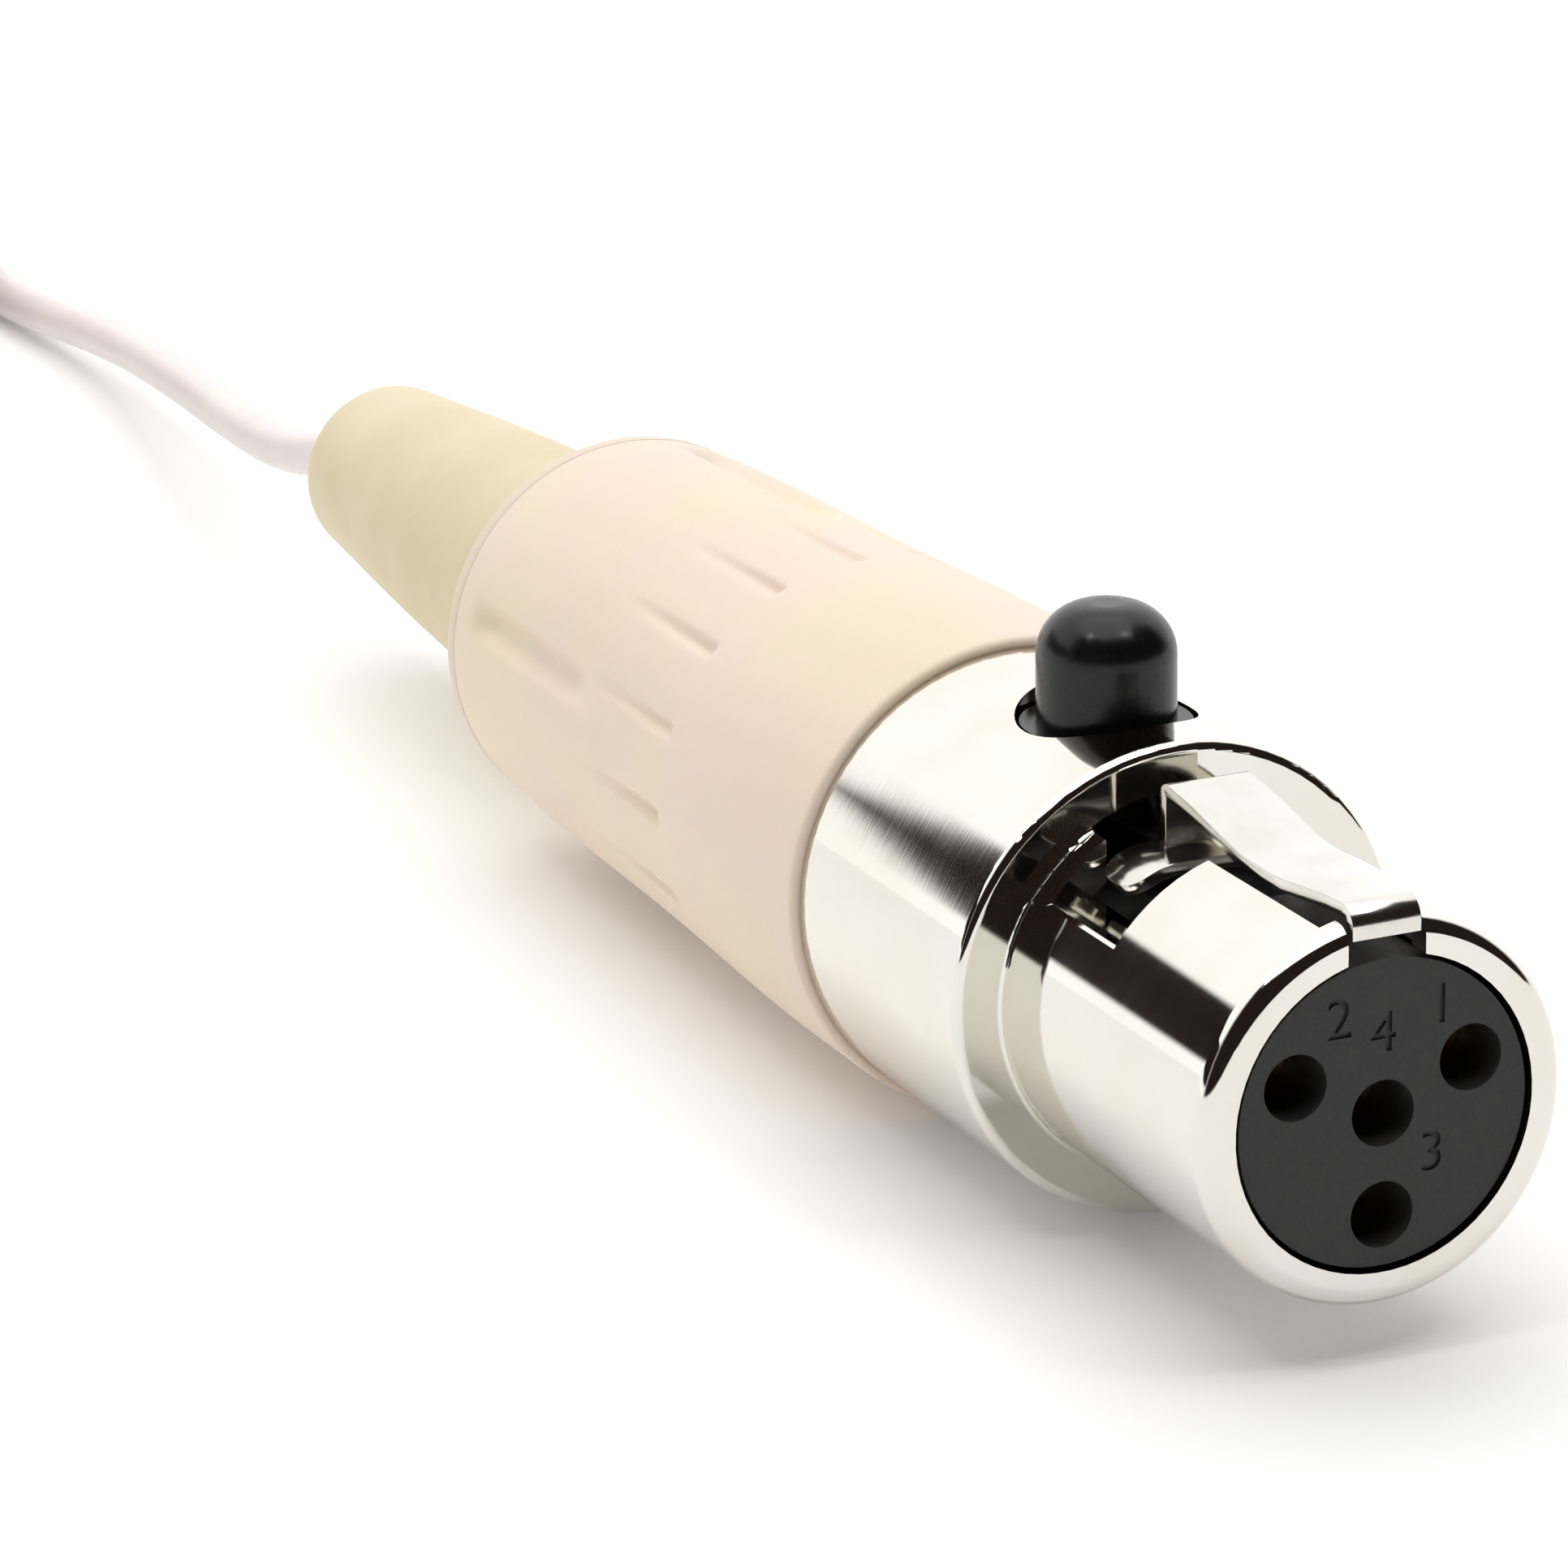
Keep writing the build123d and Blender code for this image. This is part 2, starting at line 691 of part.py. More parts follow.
with BuildPart() as coil_tie:
    bundle_middle = coil_centre_x - (coil_outside + coil_inside) / 2
    bundle_width = coil_outside - coil_inside
    tie_height = coil_height + tie_thickness
    bore_height = coil_height - tie_thickness
    with BuildSketch(Plane.XZ.offset(-coil_centre_y)):
        with Locations((bundle_middle, floor_z + tie_height / 2)):
            RectangleRounded(bundle_width + 2 * tie_thickness, tie_height, tie_outer_corner)
        with Locations((bundle_middle, floor_z + tie_thickness + bore_height / 2)):
            RectangleRounded(bundle_width, bore_height, tie_inner_corner, mode=Mode.SUBTRACT)
    extrude(amount=tie_width / 2, both=True)
coil_tie.part.label = "coil_tie"
export_step(coil_tie.part, "parts/coil_tie.step")

with BuildPart() as lead_coil:
    with BuildSketch(Plane.XY.offset(floor_z)):
        with Locations((coil_centre_x, coil_centre_y)):
            Circle(coil_outside)
            Circle(coil_inside, mode=Mode.SUBTRACT)
    extrude(amount=coil_height)
    add(coil_tie.part, mode=Mode.SUBTRACT)
lead_coil.part.label = "lead_coil"
export_step(lead_coil.part, "parts/lead_coil.step")

coil_length = 2 * pi * coil_layers * coil_columns * (coil_inner_turn + outer_turn) / 2
for tube, route in ((lead_cable, lead_route), (lead_tail, tail_route)):
    middle_line = FilletPolyline(*route, radius=arc_radii(route), mode=Mode.PRIVATE)
    radii = ", ".join(f"{radius:.1f}" for radius in arc_radii(route))
    share = tube.part.volume / (pi * cord_radius ** 2 * middle_line.length)
    print(f"{tube.part.label}: {middle_line.length:.1f} mm, radii {radii}, volume share {share:.4f}")
print(f"coil: {coil_length:.0f} mm of cord, {2 * coil_outside:.1f} mm across, {coil_height:.1f} mm high")

# Far-end connector

end_centre = tail_route[-1][1:]
end_relief_x = tail_route[-1][0]
end_body_x = end_relief_x + end_relief_length
end_plug_x = end_body_x + end_body_length
end_tip_x = end_plug_x + end_plug_length
end_seat_x = end_plug_x - end_seat_depth
end_bore = end_plug_radius - end_plug_wall

with BuildPart() as end_relief:
    turn_outline([
        (end_relief_x, 0),
        (end_relief_x, cord_radius + end_relief_wall),
        (end_body_x, end_relief_radius),
        (end_body_x, 0),
    ], end_centre)
    relief_rims = end_relief.edges().filter_by(GeomType.CIRCLE).group_by(Axis.X)[0]
    fillet(relief_rims, radius=end_relief_rounding)
end_relief.part.label = "end_relief"
export_step(end_relief.part, "parts/end_relief.step")

with BuildPart() as end_body:
    turn_outline([
        (end_body_x, 0),
        (end_body_x, end_body_radius),
        (end_plug_x, end_body_radius),
        (end_plug_x, end_plug_radius),
        (end_tip_x, end_plug_radius),
        (end_tip_x, end_bore),
        (end_seat_x, end_bore),
        (end_seat_x, 0),
    ], end_centre)
    body_circles = end_body.edges().filter_by(GeomType.CIRCLE).filter_by(
        lambda edge: abs(edge.radius - end_body_radius) < 0.001)
    fillet(body_circles, radius=end_body_rounding)
end_body.part.label = "end_body"
export_step(end_body.part, "parts/end_body.step")

end_pin_places = []
for around in (90, 210, 330):
    pin_y = end_centre[0] + end_pin_circle * cos(radians(around))
    pin_z = end_centre[1] + end_pin_circle * sin(radians(around))
    end_pin_places.append((pin_y, pin_z))
with BuildPart() as end_insulator:
    end_face_x = end_tip_x - end_face_depth
    rod(end_face_x, end_seat_x + end_fit, end_bore - end_fit, (end_centre,))
    rod(end_face_x, end_seat_x + end_fit, end_pin_radius + end_pin_fit, end_pin_places, Mode.SUBTRACT)
end_insulator.part.label = "end_insulator"
export_step(end_insulator.part, "parts/end_insulator.step")

with BuildPart() as end_pins:
    rod(end_tip_x - end_pin_recess, end_seat_x + end_fit, end_pin_radius, end_pin_places)
end_pins.part.label = "end_pins"
export_step(end_pins.part, "parts/end_pins.step")
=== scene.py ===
import math

import bmesh
import bpy
from mathutils import Matrix, Vector


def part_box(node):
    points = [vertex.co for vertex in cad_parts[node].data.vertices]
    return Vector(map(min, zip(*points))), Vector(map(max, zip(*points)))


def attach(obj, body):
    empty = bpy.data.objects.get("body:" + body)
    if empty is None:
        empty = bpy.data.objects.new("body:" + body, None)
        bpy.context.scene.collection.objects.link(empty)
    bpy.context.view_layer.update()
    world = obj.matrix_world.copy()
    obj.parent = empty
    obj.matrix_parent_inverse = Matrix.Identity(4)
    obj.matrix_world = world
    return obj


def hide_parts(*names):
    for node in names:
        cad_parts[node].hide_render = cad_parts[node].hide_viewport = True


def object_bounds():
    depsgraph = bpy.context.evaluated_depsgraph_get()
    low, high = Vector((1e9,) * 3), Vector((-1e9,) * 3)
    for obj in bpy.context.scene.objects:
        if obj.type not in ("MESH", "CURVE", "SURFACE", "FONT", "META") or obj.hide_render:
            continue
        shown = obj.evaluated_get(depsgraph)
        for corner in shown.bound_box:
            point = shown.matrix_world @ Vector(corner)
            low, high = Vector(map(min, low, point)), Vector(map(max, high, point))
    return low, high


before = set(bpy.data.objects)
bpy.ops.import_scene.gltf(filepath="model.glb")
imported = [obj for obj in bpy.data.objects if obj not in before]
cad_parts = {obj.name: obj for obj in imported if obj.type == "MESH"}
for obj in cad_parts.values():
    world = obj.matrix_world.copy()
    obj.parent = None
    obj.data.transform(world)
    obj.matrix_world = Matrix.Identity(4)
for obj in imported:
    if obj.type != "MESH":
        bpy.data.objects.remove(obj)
cadBox = [list(corner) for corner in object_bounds()]
mm = 0.001
print("frame loaded,", len(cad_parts), "nodes")


# Camera: low, in front of the plug and to its left, looking back along the lead
cameraValues = {
    "place": (118.70, -67.52, 51.90),   # mm
    "aim": (-10.54, -9.06, 5.63),       # mm, the point in the middle of the picture
    "roll": -0.85,                      # degrees
    "lens": 157.96, "sensor": 36, "clipStart": 0.01,
}


def makeCamera(values):
    data = bpy.data.cameras.new("plugCamera")
    data.lens = values["lens"]
    data.sensor_width = values["sensor"]
    data.clip_start = values["clipStart"]
    place = Vector(values["place"]) * mm
    gaze = Vector(values["aim"]) * mm - place
    roll = Matrix.Rotation(math.radians(values["roll"]), 3, "Z")
    turned = gaze.to_track_quat("-Z", "Y").to_matrix() @ roll
    camera = bpy.data.objects.new("plugCamera", data)
    camera.matrix_world = Matrix.Translation(place) @ turned.to_4x4()
    bpy.context.scene.collection.objects.link(camera)
    bpy.context.scene.camera = camera


makeCamera(cameraValues)
print("camera placed")


# Free cord, in millimetres: the lead's route, the coil that stores its length, and the tail
cordValues = {
    "diameter": 1.3,
    "length": 1050,
    "lead": [
        (-58.0, 0.0, 0.0), (-60.8, 0.0, -0.3), (-65.5, 0.05, -1.5), (-71.0, 0.5, -2.0), (-80.0, 1.8, -2.85),
        (-90.0, 3.1, -4.0), (-98.5, 3.0, -4.85), (-103.2, 3.0, -5.11), (-107.4, 4.0, -5.11),
    ],
    "tail": [
        (-111.4, -14.3, 1.39), (-104.6, -14.3, 1.39), (-100.0, -13.9, -0.9),
        (-95.5, -12.9, -3.6), (-91.5, -12.6, -4.16), (-88.5, -12.6, -4.16),
    ],
    "coilCentre": (-109.4, -5.15),
    "columns": 4,
    "layers": 6,
    "innerTurn": 5.25,
    "pointsPerTurn": 24,
    "enters": 90,          # degrees round the coil
    "leaves": 255,
    "firstStep": 300,
    "stepAngle": 60,       # a turn moves to the next column or layer over this angle
    "tieLift": 0.35,       # the tie's band lifts the turns that cross it
    "tieReach": 65,        # degrees to each side of the tie
    "tieFlat": 1.5,        # over 1, the turns stay level for a stretch under the tie
    "sides": 8, "stepsPerPoint": 4,
}


def ease(share):
    share = min(max(share, 0.0), 1.0)
    return share * share * (3 - 2 * share)


def coilPoints(values):
    # each layer is wound in or out one column at a time, and then the cord climbs to the next layer
    pitch = values["diameter"]
    changes = []
    angle = values["firstStep"]
    way = -1
    for layer in range(values["layers"]):
        for column in range(values["columns"] - 1):
            changes.append((angle, way, 0))
            angle += 360
        changes.append((angle - values["stepAngle"], 0, 1))
        angle += 360 - 2 * values["stepAngle"]
        way = -way
    changes.pop()
    lastTurn = changes[-1][0] + values["stepAngle"]
    end = lastTurn + values["leaves"] - lastTurn % 360
    pointAngle = 360 / values["pointsPerTurn"]
    pull = 0.75 + 0.25 * math.cos(math.radians(pointAngle))    # the spline's radius over its points' radius
    points = []
    angle = values["enters"]
    while angle <= end:
        column = values["columns"] - 1
        layer = 0
        for start, columnStep, layerStep in changes:
            done = ease((angle - start) / values["stepAngle"])
            column += columnStep * done
            layer += layerStep * done
        radius = (values["innerTurn"] + pitch * column) / pull
        fromTie = abs(angle % 360 - 180)
        lift = values["tieLift"] * ease(values["tieFlat"] - fromTie / values["tieReach"] * values["tieFlat"])
        x = values["coilCentre"][0] + radius * math.cos(math.radians(angle))
        y = values["coilCentre"][1] + radius * math.sin(math.radians(angle))
        points.append((x, y, values["lead"][-1][2] + pitch * layer + lift))
        angle += pointAngle
    return points


def makeCord(values):
    route = values["lead"] + coilPoints(values) + values["tail"]
    data = bpy.data.curves.new("leadCord", "CURVE")
    data.dimensions = "3D"
    line = data.splines.new("NURBS")
    line.points.add(len(route) - 1)
    for point, place in zip(line.points, route):
        point.co = (*(Vector(place) * mm), 1)
        point.radius = values["diameter"] / 2 * mm
    line.order_u = 3
    line.use_endpoint_u = True
    line.resolution_u = values["stepsPerPoint"]
    data.bevel_depth = 1.0
    data.bevel_resolution = values["sides"]
    data.use_fill_caps = True
    cord = bpy.data.objects.new("leadCord", data)
    bpy.context.scene.collection.objects.link(cord)
    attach(cord, "plug")
    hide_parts("lead_cable", "lead_coil", "lead_tail")
    return cord


leadCord = makeCord(cordValues)
print("cord laid")


# Helpers for node trees, in materials and in geometry nodes alike
def feed(tree, socket, term):
    if isinstance(term, bpy.types.NodeSocket):
        tree.links.new(term, socket)
    else:
        socket.default_value = term


def addNode(tree, kind, terms=(), **settings):
    node = tree.nodes.new(kind)
    for label, value in settings.items():
        setattr(node, label, value)
    for label, term in dict(terms).items():
        feed(tree, node.inputs[label], term)
    return node


def calc(tree, operation, *terms):
    node = addNode(tree, "ShaderNodeMath", operation=operation)
    for socket, term in zip(node.inputs, terms):
        feed(tree, socket, term)
    return node.outputs[0]


def fade(tree, value, start, end):
    # 0 before start, 1 after end, and the other way round where end is the smaller
    terms = {"Value": value, "From Min": start, "From Max": end}
    return addNode(tree, "ShaderNodeMapRange", terms, interpolation_type="SMOOTHSTEP").outputs[0]


def spread(tree, value, reach, onto):
    # the levels of reach are laid over those of onto, in a straight line
    terms = {"Value": value, "From Min": reach[0], "From Max": reach[1], "To Min": onto[0], "To Max": onto[1]}
    return addNode(tree, "ShaderNodeMapRange", terms).outputs[0]


def mixColors(tree, factor, first, second):
    mixed = addNode(tree, "ShaderNodeMix", {"Factor": factor}, data_type="RGBA")
    for socket, color in zip(mixed.inputs[6:8], (first, second)):
        feed(tree, socket, (*color, 1) if isinstance(color, tuple) else color)
    return mixed.outputs[2]


# Materials. Grain is the size of a mark in mm along X, Y and Z; depth is its height in mm
finishValues = {
    "nickel": {
        "name": "brightNickel", "color": (0.77, 0.745, 0.69), "second": (0.75, 0.71, 0.64), "metallic": 1.0,
        "roughness": (0.045, 0.075), "grain": (0.05, 1.6, 1.6), "depth": 0.0002, "patch": 3.0,
    },
    "spring_steel": {
        "name": "springSteel", "color": (0.74, 0.72, 0.67), "second": (0.70, 0.67, 0.61), "metallic": 1.0,
        "roughness": (0.12, 0.18), "grain": (1.8, 0.05, 0.05), "depth": 0.0004, "patch": 1.2,
    },
    "button_plastic": {
        "name": "buttonPlastic", "color": (0.004, 0.004, 0.0045), "second": (0.007, 0.007, 0.0075),
        "roughness": (0.2, 0.3), "grain": (0.05, 0.05, 0.05), "depth": 0.0008, "patch": 0.9, "gloss": 0.36,
    },
    "insert_plastic": {
        "name": "insertPlastic", "color": (0.019, 0.019, 0.020), "second": (0.030, 0.029, 0.028),
        "roughness": (0.5, 0.68), "grain": (0.06, 0.06, 0.06), "depth": 0.004, "patch": 0.7,
    },
    "gold_plate": {
        "name": "goldPlate", "color": (0.83, 0.58, 0.24), "second": (0.72, 0.46, 0.17), "metallic": 1.0,
        "roughness": (0.12, 0.26), "grain": (0.05, 0.6, 0.6), "depth": 0.0008, "patch": 0.8,
    },
    "boot_plastic": {
        "name": "bootPlastic", "color": (0.85, 0.71, 0.53), "second": (0.86, 0.70, 0.58),
        "roughness": (0.36, 0.5), "grain": (0.11, 0.11, 0.11), "depth": 0.0035, "patch": 5.0,
        "subsurface": 0.12, "radius": 0.5,
    },
    "relief_rubber": {
        "name": "reliefRubber", "color": (0.78, 0.67, 0.45), "second": (0.74, 0.63, 0.40),
        "roughness": (0.46, 0.6), "grain": (0.13, 0.13, 0.13), "depth": 0.004, "patch": 4.0,
        "subsurface": 0.1, "radius": 0.5,
    },
    "cable_jacket": {
        "name": "cableJacket", "color": (0.84, 0.75, 0.73), "second": (0.88, 0.80, 0.75),
        "roughness": (0.34, 0.5), "grain": (0.3, 0.09, 0.09), "depth": 0.0025, "patch": 3.5,
        "subsurface": 0.1, "radius": 0.3,
    },
    "nylon": {
        "name": "chuckNylon", "color": (0.78, 0.76, 0.70), "second": (0.70, 0.68, 0.61),
        "roughness": (0.35, 0.5), "grain": (0.12, 0.12, 0.12), "depth": 0.003, "patch": 2.0,
        "subsurface": 0.2, "radius": 0.6,
    },
    "brass": {
        "name": "plainBrass", "color": (0.72, 0.52, 0.25), "second": (0.55, 0.38, 0.17), "metallic": 1.0,
        "roughness": (0.22, 0.4), "grain": (0.04, 0.8, 0.8), "depth": 0.001, "patch": 1.0,
    },
    "tinned_copper": {
        "name": "tinnedCopper", "color": (0.66, 0.64, 0.60), "second": (0.66, 0.48, 0.36), "metallic": 1.0,
        "roughness": (0.28, 0.45), "grain": (0.5, 0.05, 0.05), "depth": 0.002, "patch": 0.8,
    },
    "solder": {
        "name": "solderAlloy", "color": (0.60, 0.60, 0.60), "second": (0.42, 0.42, 0.42), "metallic": 1.0,
        "roughness": (0.2, 0.5), "grain": (0.15, 0.15, 0.15), "depth": 0.004, "patch": 0.5,
    },
    "red_wire": {
        "name": "redWire", "color": (0.50, 0.02, 0.015), "second": (0.40, 0.015, 0.012),
        "roughness": (0.35, 0.5), "grain": (0.3, 0.08, 0.08), "depth": 0.002, "patch": 1.0,
    },
    "white_wire": {
        "name": "whiteWire", "color": (0.80, 0.79, 0.76), "second": (0.73, 0.71, 0.67),
        "roughness": (0.35, 0.5), "grain": (0.3, 0.08, 0.08), "depth": 0.002, "patch": 1.0,
    },
    "shrink": {
        "name": "shrinkSleeve", "color": (0.012, 0.012, 0.013), "second": (0.022, 0.022, 0.022),
        "roughness": (0.4, 0.6), "grain": (0.2, 0.2, 0.2), "depth": 0.006, "patch": 0.6,
    },
    "connector_steel": {
        "name": "connectorSteel", "color": (0.62, 0.61, 0.59), "second": (0.50, 0.49, 0.47), "metallic": 1.0,
        "roughness": (0.16, 0.32), "grain": (0.04, 1.0, 1.0), "depth": 0.0008, "patch": 1.5,
    },
}


mottleValues = {
    "grainDetail": 3.0, "patchDetail": 4.0,
    "patchEdges": (0.35, 0.68),      # noise levels between which the second colour comes in
    "grainShare": 0.45,              # of the roughness, and the patches have the rest
    "noiseReach": (0.36, 0.64),      # noise levels that stand for the least and the most roughness
    "scatter": (1.0, 0.7, 0.45),     # how far red, green and blue travel below the surface
}


def makeFinish(values):
    material = bpy.data.materials.new(values["name"])
    material.use_nodes = True
    tree = material.node_tree
    shader = tree.nodes["Principled BSDF"]
    shader.inputs["Metallic"].default_value = values.get("metallic", 0.0)
    shader.inputs["Specular IOR Level"].default_value = values.get("gloss", 0.5)
    if "subsurface" in values:
        shader.inputs["Subsurface Weight"].default_value = values["subsurface"]
        shader.inputs["Subsurface Radius"].default_value = mottleValues["scatter"]
        shader.inputs["Subsurface Scale"].default_value = values["radius"] * mm
    coords = addNode(tree, "ShaderNodeTexCoord").outputs["Object"]

    def marks(sizes, detail):
        scale = [1 / (size * mm) for size in sizes]
        placed = addNode(tree, "ShaderNodeMapping", {"Vector": coords, "Scale": scale}).outputs[0]
        terms = {"Vector": placed, "Scale": 1.0, "Detail": detail}
        return addNode(tree, "ShaderNodeTexNoise", terms).outputs[0]

    grain = marks(values["grain"], mottleValues["grainDetail"])
    patch = marks([values["patch"]] * 3, mottleValues["patchDetail"])
    patched = fade(tree, patch, *mottleValues["patchEdges"])
    feed(tree, shader.inputs["Base Color"], mixColors(tree, patched, values["color"], values["second"]))
    share = mottleValues["grainShare"]
    both = calc(tree, "ADD", calc(tree, "MULTIPLY", grain, share), calc(tree, "MULTIPLY", patch, 1 - share))
    roughness = spread(tree, both, mottleValues["noiseReach"], values["roughness"])
    feed(tree, shader.inputs["Roughness"], roughness)
    bump = addNode(tree, "ShaderNodeBump", {"Height": grain, "Distance": values["depth"] * mm})
    feed(tree, shader.inputs["Normal"], bump.outputs[0])
    return material


finishes = {slotName: makeFinish(values) for slotName, values in finishValues.items()}
leadCord.data.materials.append(finishes["cable_jacket"])
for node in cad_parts.values():
    for slot in node.material_slots:
        for slotName, finish in finishes.items():
            if slotName in slot.material.name:
                slot.material = finish
                break
print("finishes mixed")


mergeGap = 2e-7       # metres, points of a copied or cut mesh that are nearer than this become one
seamGap = 1e-6        # the same for a turned part's seam and for the numbers
axisRadius = 0.001    # mm, where an outline without a bore ends


# Turned parts: an outline of (x, radius) corners in mm goes round the axis, and a rule cuts its surface
def startTree(name, sizes):
    tree = bpy.data.node_groups.new(name, "GeometryNodeTree")
    tree.interface.new_socket("Geometry", in_out="INPUT", socket_type="NodeSocketGeometry")
    for label, value in sizes.items():
        kind = "NodeSocketInt" if isinstance(value, int) else "NodeSocketFloat"
        tree.interface.new_socket(label, in_out="INPUT", socket_type=kind).default_value = value
    tree.interface.new_socket("Finish", in_out="INPUT", socket_type="NodeSocketMaterial")
    tree.interface.new_socket("Geometry", in_out="OUTPUT", socket_type="NodeSocketGeometry")
    return tree, addNode(tree, "NodeGroupInput").outputs


def turnedTree(name, sizes, rule):
    sizes = {"Around": 96, "Axis Y": 0.0, "Axis Z": 0.0, **sizes}
    tree, given = startTree(name, sizes)
    outline = addNode(tree, "GeometryNodeAttributeDomainSize", {"Geometry": given["Geometry"]})
    count = outline.outputs["Point Count"]
    grid = addNode(tree, "GeometryNodeMeshGrid", {
        "Size X": 1.0, "Size Y": 1.0,
        "Vertices X": calc(tree, "ADD", given["Around"], 1), "Vertices Y": calc(tree, "ADD", count, 1),
    })
    position = addNode(tree, "GeometryNodeInputPosition").outputs[0]
    onGrid = addNode(tree, "ShaderNodeSeparateXYZ", {"Vector": position}).outputs
    corner = calc(tree, "ROUND", calc(tree, "MULTIPLY", calc(tree, "ADD", onGrid["Y"], 0.5), count))
    corner = calc(tree, "FLOORED_MODULO", corner, count)
    sample = addNode(tree, "GeometryNodeSampleIndex", data_type="FLOAT_VECTOR", domain="POINT")
    feed(tree, sample.inputs["Geometry"], given["Geometry"])
    feed(tree, sample.inputs["Value"], position)
    feed(tree, sample.inputs["Index"], corner)
    onOutline = addNode(tree, "ShaderNodeSeparateXYZ", {"Vector": sample.outputs[0]}).outputs
    angle = calc(tree, "MULTIPLY", calc(tree, "ADD", onGrid["X"], 0.5), 2 * math.pi)
    radius = onOutline["Y"]
    if rule:
        radius = calc(tree, "SUBTRACT", radius, rule(tree, given, angle, onOutline["X"], radius))
    aside = calc(tree, "MULTIPLY", radius, calc(tree, "SINE", angle))
    above = calc(tree, "MULTIPLY", radius, calc(tree, "COSINE", angle))
    place = addNode(tree, "ShaderNodeCombineXYZ", {
        "X": onOutline["X"],
        "Y": calc(tree, "SUBTRACT", given["Axis Y"], aside),
        "Z": calc(tree, "ADD", given["Axis Z"], above),
    }).outputs[0]
    terms = {"Geometry": grid.outputs[0], "Position": place}
    turned = addNode(tree, "GeometryNodeSetPosition", terms).outputs[0]
    terms = {"Geometry": turned, "Distance": seamGap}
    joined = addNode(tree, "GeometryNodeMergeByDistance", terms).outputs[0]
    realized = addNode(tree, "GeometryNodeRealizeInstances", {"Geometry": joined}).outputs[0]
    terms = {"Geometry": realized, "Material": given["Finish"]}
    finished = addNode(tree, "GeometryNodeSetMaterial", terms).outputs[0]
    addNode(tree, "NodeGroupOutput", {"Geometry": finished})
    return tree


def bootRule(tree, given, angle, x, radius):
    # narrow grooves that run out to the rear, and broad channels behind them
    def across(count, turn):
        share = calc(tree, "DIVIDE", count, 2 * math.pi)
        turns = calc(tree, "MULTIPLY", calc(tree, "SUBTRACT", angle, turn), share)
        off = calc(tree, "SUBTRACT", turns, calc(tree, "ROUND", turns))
        around = calc(tree, "MULTIPLY", radius, 2 * math.pi)
        return calc(tree, "MULTIPLY", calc(tree, "DIVIDE", off, count), around)

    def trough(offset, width):
        half = calc(tree, "DIVIDE", width, 2)
        flat = calc(tree, "MULTIPLY", half, given["Flat Bottom"])
        return fade(tree, calc(tree, "ABSOLUTE", offset), half, flat)

    def runOut(cut, edge, way, length):
        return calc(tree, "MULTIPLY", cut, fade(tree, x, edge, calc(tree, way, edge, length)))

    groove = trough(across(given["Grooves"], given["Groove Turn"]), given["Groove Width"])
    groove = runOut(groove, given["Groove Start"], "SUBTRACT", given["Groove Front"])
    rear = calc(tree, "SUBTRACT", given["Groove Start"], given["Groove Length"])
    groove = calc(tree, "MULTIPLY", groove, fade(tree, x, rear, given["Groove Start"]))
    channel = trough(across(given["Channels"], given["Channel Turn"]), given["Channel Width"])
    channel = runOut(channel, given["Channel Start"], "SUBTRACT", given["Channel Front"])
    rear = calc(tree, "SUBTRACT", given["Channel Start"], given["Channel Length"])
    channel = runOut(channel, rear, "ADD", given["Channel Rear"])
    groove = calc(tree, "MULTIPLY", groove, given["Groove Depth"])
    channel = calc(tree, "MULTIPLY", channel, given["Channel Depth"])
    cut = calc(tree, "MAXIMUM", groove, channel)
    return calc(tree, "MULTIPLY", cut, calc(tree, "GREATER_THAN", radius, given["Cut Above"]))


def knurlRule(tree, given, angle, x, radius):
    # two sets of helical grooves leave rows of small diamonds
    around = calc(tree, "MULTIPLY", angle, calc(tree, "DIVIDE", given["Knurls"], 2 * math.pi))
    along = calc(tree, "DIVIDE", x, given["Pitch"])
    sides = []
    for operation in ("ADD", "SUBTRACT"):
        wave = calc(tree, "FRACT", calc(tree, operation, around, along))
        sides.append(calc(tree, "ABSOLUTE", calc(tree, "SUBTRACT", calc(tree, "MULTIPLY", wave, 2), 1)))
    cut = calc(tree, "MULTIPLY", calc(tree, "MAXIMUM", *sides), given["Knurl Depth"])
    for edge, way in ((given["Knurl Start"], "ADD"), (given["Knurl End"], "SUBTRACT")):
        inside = calc(tree, way, edge, given["Knurl Runout"])
        cut = calc(tree, "MULTIPLY", cut, fade(tree, x, edge, inside))
    return calc(tree, "MULTIPLY", cut, calc(tree, "GREATER_THAN", radius, given["Cut Above"]))


arcStep = math.radians(11)


def roundedOutline(corners, spacing, fineAbove=0.0):
    # corners are (x, radius, rounding) round a closed section, and runs below fineAbove stay undivided
    line = []
    places = [Vector(corner[:2]) for corner in corners]
    for index, (x, radius, rounding) in enumerate(corners):
        corner = places[index]
        if not rounding:
            line.append(corner)
            continue
        back = (places[index - 1] - corner).normalized()
        ahead = (places[(index + 1) % len(corners)] - corner).normalized()
        half = back.angle(ahead) / 2
        centre = corner + (back + ahead).normalized() * rounding / math.sin(half)
        first = (corner + back * rounding / math.tan(half) - centre).normalized()
        last = (corner + ahead * rounding / math.tan(half) - centre).normalized()
        steps = max(3, round((math.pi - 2 * half) / arcStep))
        line += [centre + first.slerp(last, step / steps) * rounding for step in range(steps + 1)]
    closed = []
    for start, end in zip(line, line[1:] + line[:1]):
        fine = min(start.y, end.y) >= fineAbove
        parts = max(1, math.ceil((end - start).length / spacing)) if fine else 1
        closed += [start.lerp(end, part / parts) for part in range(parts)]
    return closed


